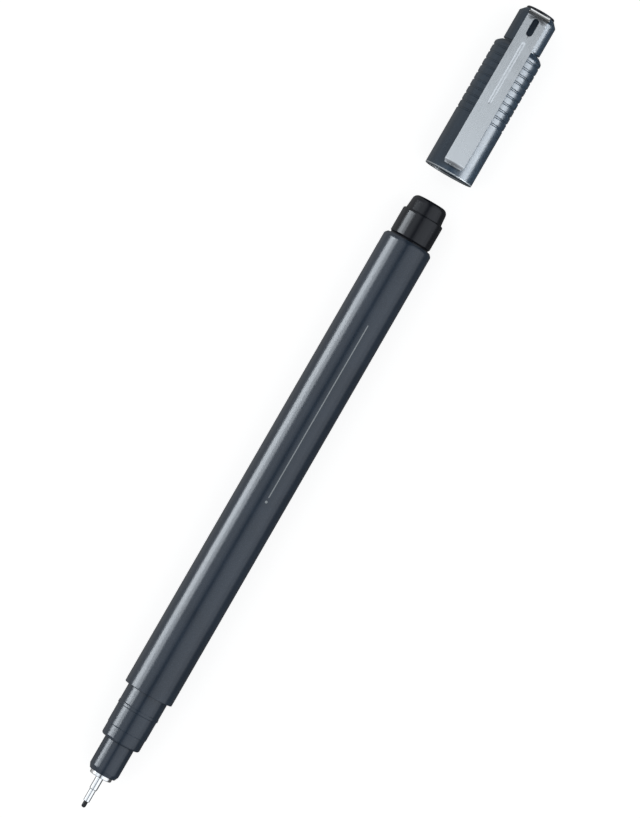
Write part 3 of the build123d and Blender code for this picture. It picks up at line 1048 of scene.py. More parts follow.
@dataclass
class FrontEnd:
    """Nib, metal tip, nose cone and grip."""

    paints: Paintbox
    nib_radius: float = 0.425
    nib_length: float = 20.0
    nib_exposed: float = 1.3
    sleeve_neck_radius: float = 0.64
    sleeve_radius: float = 0.78
    sleeve_bore: float = 0.445
    neck_rear: float = 3.8
    neck_taper: float = 0.12
    sleeve_rear: float = 16.3
    collar_front: float = 6.46
    collar_radius: float = 2.23
    stem_radius: float = 1.7
    stem_length: float = 3.0
    nose_front: float = 7.2
    nose_radius: float = 3.025
    nose_chamfer: float = 0.4
    nose_chamfer_length: float = 0.84
    nose_seat: float = 3.2
    nose_bore: float = 1.8
    nose_spigot: float = 2.8
    nose_spigot_rear: float = 19.87
    grip_front: float = 13.87
    grip_step: float = 16.37
    step_flank: float = 0.07
    step_depth: float = 0.025
    bead_front: float = 20.37
    bead_rear: float = 21.1
    bead_flank: float = 0.1
    bead_foot: float = 0.06
    bead_dip: float = 0.01
    grip_rear: float = 24.44
    grip_spigot_rear: float = 33.44
    front_radius: float = 3.965
    middle_radius: float = 4.06
    bead_radius: float = 4.19
    rear_radius: float = 4.12
    spigot_radius: float = 3.94
    grip_bore: float = 2.95

    def build(self) -> list[bpy.types.Object]:
        """Builds and dresses every piece of the front end and returns them."""
        return [self.nib(), self.sleeve(), self.collar(), self.nose(), self.grip()]

    def nib(self) -> bpy.types.Object:
        """Builds the writing point: a thin rod with a domed end.

        Returns:
            The dressed piece.
        """
        r = self.nib_radius
        bm = turned(
            [
                Corner(0, 0),
                Corner(0, r, 0.38),
                Corner(self.nib_length, r, 0.03),
                Corner(self.nib_length, 0),
            ],
            Fineness.SMALL,
            segments=8,
            gap=0.03,
        )
        paint = self.paints.take(self.paints.nib)
        return finish_piece(as_object("pen_nib", bm), Body.PEN, paint, ["nib"])

    def sleeve(self) -> bpy.types.Object:
        """Builds the drawn tube round the nib, necked down at its front.

        Returns:
            The dressed piece.
        """
        bm = turned(
            [
                Corner(self.nib_exposed, self.sleeve_bore, 0.03),
                Corner(self.nib_exposed, self.sleeve_neck_radius, 0.1),
                Corner(self.neck_rear, self.sleeve_neck_radius, 0.06),
                Corner(self.neck_rear + self.neck_taper, self.sleeve_radius, 0.06),
                Corner(self.sleeve_rear, self.sleeve_radius, 0.03),
                Corner(self.sleeve_rear, self.sleeve_bore),
            ],
            Fineness.SMALL,
            gap=0.04,
        )
        paint = self.paints.take(self.paints.tip)
        return finish_piece(
            as_object("pen_nib_sleeve", bm), Body.PEN, paint, ["nib_sleeve"]
        )

    def collar(self) -> bpy.types.Object:
        """Builds the turned flange that closes the nose, with its stem.

        Returns:
            The dressed piece.
        """
        bore = self.sleeve_radius + FIT
        stem_rear = self.nose_front + self.stem_length
        bm = turned(
            [
                Corner(self.collar_front, bore, 0.04),
                Corner(self.collar_front, self.collar_radius, 0.2),
                Corner(self.nose_front, self.collar_radius, 0.06),
                Corner(self.nose_front, self.stem_radius),
                Corner(stem_rear, self.stem_radius, 0.15),
                Corner(stem_rear, bore),
            ],
            Fineness.MEDIUM,
            segments=5,
            gap=0.05,
        )
        paint = self.paints.take(self.paints.tip)
        return finish_piece(
            as_object("pen_tip_collar", bm), Body.PEN, paint, ["tip_collar"]
        )

    def nose(self) -> bpy.types.Object:
        """Builds the nose cone with its chamfered front and the spigot in the grip.

        Returns:
            The dressed piece.
        """
        seat = self.stem_radius + FIT
        step = self.nose_front + self.nose_seat
        bm = turned(
            [
                Corner(self.nose_front, seat),
                Corner(self.nose_front, self.nose_radius - self.nose_chamfer, 0.08),
                Corner(self.nose_front + self.nose_chamfer_length, self.nose_radius, 0.12),
                Corner(self.grip_front, self.nose_radius, 0.1),
                Corner(self.grip_front, self.nose_spigot),
                Corner(self.nose_spigot_rear, self.nose_spigot, 0.12),
                Corner(self.nose_spigot_rear, self.nose_bore),
                Corner(step, self.nose_bore),
                Corner(step, seat),
            ],
            Fineness.MEDIUM,
        )
        paint = self.paints.take(self.paints.barrel)
        return finish_piece(
            as_object("pen_nose_cone", bm), Body.PEN, paint, ["nose_cone"]
        )

    def grip(self) -> bpy.types.Object:
        """Builds the grip with its faint steps, its bead and the spigot in the barrel.

        Returns:
            The dressed piece.
        """
        seat = self.nose_spigot + FIT
        dip = self.bead_dip
        bm = turned(
            [
                Corner(self.grip_front, seat),
                Corner(self.grip_front, self.front_radius, 0.45),
                Corner(self.grip_step - self.step_flank, self.front_radius, 0.02),
                Corner(self.grip_step, self.front_radius - self.step_depth),
                Corner(self.grip_step + self.step_flank, self.middle_radius, 0.03),
                Corner(self.bead_front - self.bead_foot, self.middle_radius, 0.02),
                Corner(self.bead_front, self.middle_radius - dip),
                Corner(self.bead_front + self.bead_flank, self.bead_radius, 0.05),
                Corner(self.bead_rear - self.bead_flank, self.bead_radius, 0.05),
                Corner(self.bead_rear, self.rear_radius - dip),
                Corner(self.bead_rear + self.bead_foot, self.rear_radius, 0.02),
                Corner(self.grip_rear, self.rear_radius, 0.05),
                Corner(self.grip_rear, self.spigot_radius),
                Corner(self.grip_spigot_rear, self.spigot_radius, 0.4),
                Corner(self.grip_spigot_rear, self.grip_bore),
                Corner(self.nose_spigot_rear, self.grip_bore),
                Corner(self.nose_spigot_rear, seat),
            ],
            Fineness.FINE,
            segments=5,
            gap=0.05,
        )
        paint = self.paints.take(self.paints.barrel)
        return finish_piece(
            as_object("pen_grip_section", bm), Body.PEN, paint, ["grip_section"]
        )


@dataclass
class BarrelAssembly:
    """Barrel with its printed rule, tail plug and the ink system inside."""

    paints: Paintbox
    front: float = 24.44
    rear: float = 121.44
    radius: float = 4.95
    rear_chamfer: float = 0.52
    bore: float = 3.95
    rib_inner: float = 3.39
    rib_front: float = 34.04
    rib_rear: float = 112.84
    rib_width: float = 0.6
    rib_root: float = 0.2
    rib_count: int = 6
    plug_front: float = 113.44
    plug_neck_flare: float = 0.1
    plug_neck_valley: float = 0.22
    plug_neck_depth: float = 0.03
    plug_neck_rear: float = 121.96
    plug_body_rear: float = 126.95
    plug_rear: float = 129.99
    plug_radius: float = 4.16
    plug_end_radius: float = 3.725
    plug_end_taper: float = 0.28
    plug_end_wall: float = 2.2
    plug_bore: float = 2.7
    finger_count: int = 4
    finger_reach: float = 2.0
    finger_root: float = 0.4
    finger_width: float = 1.0
    finger_thickness: float = 0.65
    rule_front: float = 67.3
    rule_rear: float = 104.1
    rule_width: float = 0.2
    rule_turn: float = 14.0
    print_height: float = 0.008
    print_thickness: float = 0.02
    dot_station: float = 66.4
    dot_radius: float = 0.26

    def build(self) -> list[bpy.types.Object]:
        """Builds and dresses every piece of the barrel.

        Returns:
            The pieces that show.
        """
        pieces = [self.tube(), self.tail(), self.rule(), self.dot()]
        self.ink_system()
        return pieces

    def tube(self) -> bpy.types.Object:
        """Builds the barrel: a straight tube with a chamfered rear edge, ribbed inside.

        Returns:
            The dressed piece.
        """
        bm = turned(
            [
                Corner(self.front, self.bore, 0.1),
                Corner(self.front, self.radius, 0.15),
                Corner(self.rear - self.rear_chamfer, self.radius, 0.25),
                Corner(self.rear, self.radius - self.rear_chamfer, 0.08),
                Corner(self.rear, self.bore, 0.06),
            ],
            Fineness.FINE,
            segments=8,
            gap=0.1,
        )
        low = place(self.rib_front, -self.rib_width / 2, self.rib_inner)
        high = place(self.rib_rear, self.rib_width / 2, self.bore + self.rib_root)
        for number in range(self.rib_count):
            add_box(bm, low, high, 2 * math.pi * number / self.rib_count)
        paint = self.paints.take(self.paints.barrel)
        return finish_piece(as_object("pen_barrel", bm), Body.PEN, paint, ["barrel"])

    def tail(self) -> bpy.types.Object:
        """Builds the tail plug: the neck, the body that the cap is posted on and a tapered end.

        Inside the barrel it has fingers that stop the reservoir.

        Returns:
            The dressed piece.
        """
        floor = self.plug_rear - self.plug_end_wall
        spigot = self.bore - FIT
        bm = turned(
            [
                Corner(self.plug_front, self.plug_bore),
                Corner(self.plug_front, spigot, 0.4),
                Corner(self.rear, spigot),
                Corner(self.rear, self.bore + self.plug_neck_flare),
                Corner(self.rear + self.plug_neck_valley, self.bore - self.plug_neck_depth),
                Corner(self.plug_neck_rear, self.plug_radius, 0.05),
                Corner(self.plug_body_rear, self.plug_radius, 0.4),
                Corner(self.plug_body_rear, self.plug_end_radius, 0.03),
                Corner(self.plug_rear, self.plug_end_radius - self.plug_end_taper, 1.0),
                Corner(self.plug_rear, 0),
                Corner(floor, 0),
                Corner(floor, self.plug_bore, 0.3),
            ],
            Fineness.FINE,
            segments=8,
            gap=0.05,
        )
        top = self.plug_bore + self.finger_thickness
        low = place(self.plug_front - self.finger_reach, -self.finger_width / 2, self.plug_bore)
        high = place(self.plug_front + self.finger_root, self.finger_width / 2, top)
        for number in range(self.finger_count):
            add_box(bm, low, high, 2 * math.pi * (number + 0.5) / self.finger_count)
        paint = self.paints.take(self.paints.black)
        return finish_piece(
            as_object("pen_tail_plug", bm), Body.PEN, paint, ["tail_plug"]
        )

    def rule(self) -> bpy.types.Object:
        """Builds the thin pale rule printed along the barrel, as raised ink.

        Returns:
            The dressed piece.
        """
        bm = bmesh.new()
        top = self.radius + self.print_height
        ends = [bm.verts.new(place(s, 0, top)) for s in (self.rule_front, self.rule_rear)]
        line = bm.edges.new(ends)
        width = self.rule_width / self.radius
        start = Matrix.Rotation(math.radians(self.rule_turn) - width / 2, 3, "X")
        bmesh.ops.rotate(bm, cent=place(0, 0, 0), matrix=start, verts=ends)
        bmesh.ops.spin(
            bm,
            geom=[*ends, line],
            cent=place(0, 0, 0),
            axis=(1, 0, 0),
            dvec=(0, 0, 0),
            angle=width,
            steps=4,
            use_merge=False,
            use_normal_flip=False,
            use_duplicate=False,
        )
        self.thicken(bm)
        paint = self.paints.take(self.paints.ink)
        return finish_piece(as_object("barrel_rule", bm), Body.PEN, paint)

    def dot(self) -> bpy.types.Object:
        """Builds the printed dot at the front end of the rule.

        Returns:
            The dressed piece.
        """
        bm = bmesh.new()
        bmesh.ops.create_circle(bm, cap_ends=True, radius=self.dot_radius * MM, segments=32)
        top = self.radius + self.print_height
        bmesh.ops.translate(bm, vec=place(self.dot_station, 0, top), verts=bm.verts)
        aside = Matrix.Rotation(math.radians(self.rule_turn), 3, "X")
        bmesh.ops.rotate(bm, cent=place(0, 0, 0), matrix=aside, verts=bm.verts)
        self.thicken(bm)
        paint = self.paints.take(self.paints.ink)
        return finish_piece(as_object("barrel_rule_dot", bm), Body.PEN, paint)

    def thicken(self, bm: bmesh.types.BMesh) -> None:
        """Gives a sheet of ink its thickness, inwards to just under the barrel's surface.

        Args:
            bm: The sheet's mesh.
        """
        bmesh.ops.recalc_face_normals(bm, faces=list(bm.faces))
        bm.faces.ensure_lookup_table()
        outward = bm.faces[0]
        away = outward.calc_center_median() - place(0, 0, 0)
        away.x = 0
        if outward.normal.dot(away) < 0:
            bmesh.ops.reverse_faces(bm, faces=list(bm.faces))
        bmesh.ops.solidify(bm, geom=list(bm.faces), thickness=self.print_thickness * MM)
        bmesh.ops.recalc_face_normals(bm, faces=list(bm.faces))

    def ink_system(self) -> None:
        """Dresses the nodes of the ink system, which stay hidden in the barrel."""
        dress_node("nib_holder", self.paints.take(self.paints.inner))
        dress_node("relay_wick", self.paints.take(self.paints.fibre))
        dress_node("reservoir_core", self.paints.take(self.paints.fibre))
        dress_node("reservoir_film", self.paints.take(self.paints.film))


@dataclass
class CapAssembly:
    """Cap shell, inner cap, the plug in the crown and the pocket clip."""

    paints: Paintbox
    mouth: float = 135.99
    radius: float = 4.88
    bore: float = 4.25
    snap_middle: float = 139.905
    snap_half: float = 0.5
    snap_depth: float = 0.13
    seat: float = 147.19
    inner_rear: float = 161.49
    inner_radius: float = 3.6
    inner_bore: float = 3.055
    inner_wall: float = 0.6
    flange_gap: float = 0.1
    flange_thickness: float = 0.5
    shoulder: float = 162.19
    shoulder_lead: float = 0.05
    shoulder_chamfer: float = 0.42
    crown_front: float = 163.01
    crown_rear: float = 170.31
    crown_radius: float = 3.84
    crown_end_radius: float = 2.95
    crown_bore: float = 2.2
    crown_wall: float = 2.3
    stem_radius: float = 1.1
    stem_length: float = 3.4
    groove_count: int = 10
    groove_pitch: float = 1.487
    groove_width: float = 0.45
    groove_wall: float = 0.13
    groove_depth: float = 0.14
    groove_inset: float = 0.87
    notch_depth: float = 0.38
    notch_width: float = 0.34
    notch_lip: float = 0.1
    notch_flank: float = 0.04
    notch_rear_flank: float = 0.02
    crown_taper: float = 0.98
    pocket_fit: float = 0.1
    pocket_top: float = 5.0
    disc_radius: float = 2.9
    disc_thickness: float = 0.5
    clip_width: float = 4.06
    clip_lower_width: float = 4.1
    clip_tip_width: float = 3.5
    clip_thickness: float = 0.45
    clip_top: float = 6.15
    clip_drop: float = 0.4
    clip_length: float = 32.9
    clip_tab: float = 2.1
    leg_set_back: float = 0.2
    clip_relief: float = 0.35
    bend_radius: float = 2.0
    curl_radius: float = 0.12
    dip_length: float = 0.58
    dip_valley: float = 0.18
    dip_depth: float = 0.37
    lip_drop: float = 0.24
    clip_clearance: float = 0.14
    slot_width: float = 1.19
    slot_length: float = 3.57
    slot_from_end: float = 1.6
    slot_ease: float = 0.08
    slot_cut: float = 1.4
    edge_ease: float = 0.08
    channel_width: float = 1.0
    channel_length: float = 13.4
    channel_depth: float = 0.045
    channel_from_end: float = 6.35
    channel_splay: float = 0.38
    channel_back_splay: float = 0.3
    channel_back_top: float = 0.3
    tool_lift: float = 0.02
    stem_hole: float = 1.2
    stem_hole_length: float = 4.0
    end_taper_length: float = 0.7
    ease_angle: float = 35.0
    clip_crease: float = 40.0
    flat_area: float = 1.5

    def build(self) -> list[bpy.types.Object]:
        """Builds and dresses every piece of the cap and returns them."""
        return [self.shell(), self.liner(), self.end_disc(), self.clip()]

    def grooves(self) -> list[Corner]:
        """Draws the shallow grooves round the cap.

        Returns:
            Their corners, front to rear.
        """
        last = self.shoulder - self.groove_inset
        corners = []
        for number in reversed(range(self.groove_count)):
            middle = last - number * self.groove_pitch
            half = self.groove_width / 2
            floor = self.radius - self.groove_depth
            corners += [
                Corner(middle - half, self.radius, 0.02),
                Corner(middle - half + self.groove_wall, floor, 0.02),
                Corner(middle + half - self.groove_wall, floor, 0.02),
                Corner(middle + half, self.radius, 0.02),
            ]
        return corners

    def shell(self) -> bpy.types.Object:
        """Builds the cap shell, grooved outside, with the clip's pocket cut in its crown.

        Returns:
            The dressed piece.
        """
        seat_radius = self.inner_radius + FIT
        hole = self.stem_radius + FIT
        end_wall = self.crown_rear - self.crown_wall
        notch = self.crown_front + self.notch_width
        notch_floor = self.crown_radius - self.notch_depth
        snap_front, snap_rear = self.snap_middle - self.snap_half, self.snap_middle + self.snap_half
        snap_floor = self.bore + self.snap_depth
        chamfer = self.shoulder_chamfer
        bm = turned(
            [
                Corner(self.mouth, self.bore, 0.08),
                Corner(self.mouth, self.radius, 0.15),
                *self.grooves(),
                Corner(self.shoulder - self.shoulder_lead, self.radius, 0.18),
                Corner(self.shoulder + chamfer, self.radius - chamfer, 0.15),
                Corner(self.crown_front, self.crown_radius + self.notch_lip, 0.04),
                Corner(self.crown_front + self.notch_flank, notch_floor),
                Corner(notch, notch_floor),
                Corner(notch + self.notch_rear_flank, self.crown_radius, 0.03),
                Corner(self.crown_rear - self.crown_taper, self.crown_radius, 0.12),
                Corner(self.crown_rear, self.crown_end_radius, 0.06),
                Corner(self.crown_rear, hole),
                Corner(end_wall, hole),
                Corner(end_wall, self.crown_bore),
                Corner(self.inner_rear + 2 * FIT, self.crown_bore),
                Corner(self.inner_rear + 2 * FIT, seat_radius),
                Corner(self.seat, seat_radius),
                Corner(self.seat, self.bore),
                Corner(snap_rear, self.bore),
                Corner(snap_rear, snap_floor),
                Corner(snap_front, snap_floor),
                Corner(snap_front, self.bore),
            ],
            Fineness.FINE,
            segments=3,
            gap=0.05,
        )
        shell = as_object("cap_shell_ribbed", bm)
        fit = self.pocket_fit
        half = self.clip_width / 2 + fit
        leg_front = self.crown_rear - self.leg_set_back - self.clip_thickness
        low = place(leg_front - self.clip_relief, -half, -self.clip_tab - fit)
        high = place(self.crown_rear + BEYOND, half, self.pocket_top)
        pocket = bmesh.new()
        add_box(pocket, low, high)
        shape_with(shell, [pocket])
        paint = self.paints.take(self.paints.cap)
        return finish_piece(shell, Body.CAP, paint, ["cap_shell"])

    def liner(self) -> bpy.types.Object:
        """Builds the inner cap: a cup with a flange, which seals on the nose.

        Returns:
            The dressed piece.
        """
        flange = self.bore - self.flange_gap
        front = self.seat - self.flange_thickness
        floor = self.inner_rear - self.inner_wall
        bm = turned(
            [
                Corner(front, self.inner_bore, 0.12),
                Corner(front, flange, 0.06),
                Corner(self.seat, flange, 0.06),
                Corner(self.seat, self.inner_radius),
                Corner(self.inner_rear, self.inner_radius, 0.6),
                Corner(self.inner_rear, 0),
                Corner(floor, 0),
                Corner(floor, self.inner_bore, 0.3),
            ],
            Fineness.MEDIUM,
            segments=5,
        )
        paint = self.paints.take(self.paints.inner)
        return finish_piece(as_object("cap_liner", bm), Body.CAP, paint, ["inner_cap"])

    def end_disc(self) -> bpy.types.Object:
        """Builds the disc over the clip's tab, on its stem.

        Returns:
            The dressed piece.
        """
        stem_front = self.crown_rear - self.stem_length
        rear = self.crown_rear + self.disc_thickness
        bm = turned(
            [
                Corner(stem_front, 0),
                Corner(stem_front, self.stem_radius, 0.3),
                Corner(self.crown_rear, self.stem_radius),
                Corner(self.crown_rear, self.disc_radius, 0.05),
                Corner(rear, self.disc_radius, 0.35),
                Corner(rear, 0),
            ],
            Fineness.MEDIUM,
            segments=5,
            gap=0.05,
        )
        paint = self.paints.take(self.paints.black)
        return finish_piece(
            as_object("cap_end_disc", bm), Body.CAP, paint, ["crown_plug"]
        )

    def strip(self) -> bmesh.types.BMesh:
        """Makes the clip's bent strip, before its outline is trimmed.

        Returns:
            The strip at full width.
        """
        thick = self.clip_thickness
        end = self.crown_rear - self.leg_set_back
        low = self.crown_rear - self.clip_length
        dip = low + self.dip_length
        lower = self.clip_top - self.clip_drop
        valley = low + self.dip_valley
        foot = self.radius + self.clip_clearance
        outline = [
            Corner(end, -self.clip_tab),
            Corner(end, self.clip_top, self.bend_radius),
            Corner(dip, lower, 0.28),
            Corner(valley, lower - self.dip_depth, 0.06),
            Corner(low, lower - self.lip_drop, self.curl_radius),
            Corner(low, foot),
            Corner(valley, foot),
            Corner(dip, lower - thick, 0.15),
            Corner(end - thick, self.clip_top - thick, self.bend_radius - thick),
            Corner(end - thick, -self.clip_tab),
        ]
        bm = bmesh.new()
        points = [place(c.station, -self.clip_width / 2, c.radius) for c in outline]
        rounded_outline(bm, points, [c.rounding for c in outline], segments=8)
        extrude_faces(bm, bm.faces, Vector((0, self.clip_width, 0)) * MM)
        return bm

    def plan(self) -> bmesh.types.BMesh:
        """Makes a tool with the clip's outline as seen from above.

        Returns:
            The block that the strip is trimmed to.
        """
        low = self.crown_rear - self.clip_length
        full = self.clip_width / 2
        outline = [
            (self.crown_rear + self.disc_thickness, full),
            (self.crown_rear - self.bend_radius, full),
            (low + self.end_taper_length, self.clip_lower_width / 2),
            (low - FIT, self.clip_tip_width / 2),
        ]
        outline += [(s, -y) for s, y in reversed(outline)]
        bm = bmesh.new()
        bottom = -self.clip_tab - BEYOND
        face = bm.faces.new([bm.verts.new(place(s, y, bottom)) for s, y in outline])
        extrude_faces(bm, [face], Vector((0, 0, self.clip_top + BEYOND - bottom)) * MM)
        return bm

    def on_arm(self, bm: bmesh.types.BMesh) -> None:
        """Moves a tool from the origin to the arm's outer face, at its corner above the crown.

        Args:
            bm: The tool.
        """
        slope = math.atan2(self.clip_drop, self.clip_length)
        bmesh.ops.rotate(bm, cent=(0, 0, 0), matrix=Matrix.Rotation(-slope, 3, "Y"), verts=bm.verts)
        bmesh.ops.translate(bm, vec=place(self.crown_rear, 0, self.clip_top), verts=bm.verts)

    def stadium(
        self,
        start: float,
        length: float,
        width: float,
        high: float,
        deep: float,
        splay: float = 0.0,
    ) -> bmesh.types.BMesh:
        """Makes a round-ended tool along the arm.

        Args:
            start: Distance of its upper end from the arm's corner, in mm.
            length: Overall length, in mm.
            width: Overall width, in mm.
            high: How far it stands over the arm's outer face, in mm.
            deep: How far it goes under that face, in mm.
            splay: How much narrower the bottom is on each side, in mm.

        Returns:
            The tool, in place.
        """
        bm = bmesh.new()
        bmesh.ops.create_circle(bm, cap_ends=True, radius=width / 2 * MM, segments=32)
        run = (length - width) * MM
        for vertex in bm.verts:
            if abs(vertex.co.x) > TINY:
                vertex.co.x += math.copysign(run / 2, vertex.co.x)
        bmesh.ops.translate(bm, vec=(-(start + length / 2) * MM, 0, high * MM), verts=bm.verts)
        moved = extrude_faces(bm, bm.faces, Vector((0, 0, -(high + deep))) * MM)
        if splay:
            centre = Vector((-(start + length / 2) * MM, 0, 0))
            factor = Vector(((length - 2 * splay) / length, (width - 2 * splay) / width, 1))
            bmesh.ops.scale(bm, vec=factor, space=Matrix.Translation(-centre), verts=moved)
        self.on_arm(bm)
        return bm

    def tab_hole(self) -> bmesh.types.BMesh:
        """Makes the tool for the hole in the clip's tab, which the disc's stem goes through.

        Returns:
            The tool, in place.
        """
        bm = bmesh.new()
        radius, depth = self.stem_hole * MM, self.stem_hole_length * MM
        bmesh.ops.create_cone(
            bm, cap_ends=True, segments=48, radius1=radius, radius2=radius, depth=depth
        )
        along = Matrix.Rotation(math.pi / 2, 3, "Y")
        bmesh.ops.rotate(bm, cent=(0, 0, 0), matrix=along, verts=bm.verts)
        bmesh.ops.translate(bm, vec=place(self.crown_rear, 0, 0), verts=bm.verts)
        return bm

    def clip(self) -> bpy.types.Object:
        """Builds the pocket clip: bent, slotted, with a pressed channel and eased edges.

        Returns:
            The dressed piece.
        """
        piece = as_object("cap_pocket_clip", self.strip())
        shape_with(piece, [self.plan()], Join.TRIM)
        run = (self.channel_from_end, self.channel_length, self.channel_width)
        lift = self.tool_lift
        thick, depth = self.clip_thickness, self.channel_depth
        under = self.stadium(*run, -self.channel_back_top, thick + depth, self.channel_back_splay)
        shape_with(piece, [under], Join.ADD)
        channel = self.stadium(*run, lift, depth, self.channel_splay)
        length, width, ease = self.slot_length, self.slot_width, self.slot_ease
        slot = self.stadium(self.slot_from_end, length, width, BEYOND, self.slot_cut)
        wider = (self.slot_from_end - ease, length + 2 * ease, width + 2 * ease)
        rim = self.stadium(*wider, lift, ease, ease)
        shape_with(piece, [slot, rim, channel, self.tab_hole()])
        edges = piece.modifiers.new("eased_edges", "BEVEL")
        edges.width = self.edge_ease * MM
        edges.segments = 3
        edges.limit_method = "ANGLE"
        edges.angle_limit = math.radians(self.ease_angle)
        edges.miter_outer = "MITER_ARC"
        settle(piece, sharp=self.clip_crease)
        flatten_large(piece, self.flat_area)
        paint = self.paints.take(self.paints.clip)
        return finish_piece(piece, Body.CLIP, paint, ["pocket_clip"])


# ---------------------------------------------------------------------------------------------
# Studio
# ---------------------------------------------------------------------------------------------


@dataclass(frozen=True)
class Lamp:
    """A soft rectangular lamp that faces the pen.

    Tilt is its angle from straight up, towards +Y, and lean its angle towards +X, in degrees. Its
    distance from the pen and its size, along the pen and across, are in metres, its power in watts.
    """

    name: str
    tilt: float
    distance: float
    size: tuple[float, float]
    power: float
    use: Use = Use.ALL
    lean: float = 0.0
    lit: Lit = Lit.EVERYTHING

    def hang(self) -> bpy.types.Object:
        """Hangs the lamp.

        Returns:
            The lamp's object.
        """
        lamp = bpy.data.lights.new(self.name, "AREA")
        lamp.shape = "RECTANGLE"
        lamp.size, lamp.size_y = self.size
        lamp.energy = self.power
        lamp.color = LAMP_COLOUR
        piece = bpy.data.objects.new(self.name, lamp)
        bpy.context.scene.collection.objects.link(piece)
        angle, away = math.radians(self.tilt), math.radians(self.lean)
        aim = Matrix.Rotation(away, 3, "Y") @ Matrix.Rotation(-angle, 3, "X")
        piece.location = aim @ Vector((0, 0, self.distance))
        piece.rotation_euler = aim.to_euler()
        piece.visible_camera = False
        piece.visible_diffuse = self.use is not Use.SHEEN
        piece.visible_glossy = self.use is not Use.BODY
        return piece


# Each lamp has its name, tilt, distance, size, power, use, lean and what it lights.

LAMP_COLOUR = (0.94, 1.0, 1.05)
LAMPS = (
    Lamp("soft_box_left", 45, 1.2, (1.6, 1.2), 2.2),
    Lamp("soft_box_right", -45, 1.2, (1.6, 1.2), 2.2),
    Lamp("strip_left", 75, 0.8, (0.33, 0.31), 3.35, Use.SHEEN, -6, Lit.PEN),
    Lamp("falloff_left", 56, 0.8, (0.33, 0.26), 1.55, Use.SHEEN, -2.5, Lit.PEN),
    Lamp("strip_right", -66, 0.8, (0.5, 0.44), 9.2, Use.SHEEN, lit=Lit.CAP_SHELL),
    Lamp("falloff_right", -85, 0.8, (0.5, 0.14), 2.6, Use.SHEEN, lit=Lit.CAP_SHELL),
    Lamp("key_right", -30, 0.9, (0.35, 0.35), 3.4, Use.BODY, 30, Lit.CAP),
    Lamp("clip_light", 0, 0.6, (0.22, 0.34), 0.235, Use.SHEEN, lit=Lit.CLIP),
    Lamp("tip_light", 72, 0.8, (0.5, 0.4), 0.7, Use.SHEEN, lit=Lit.TIP),
)


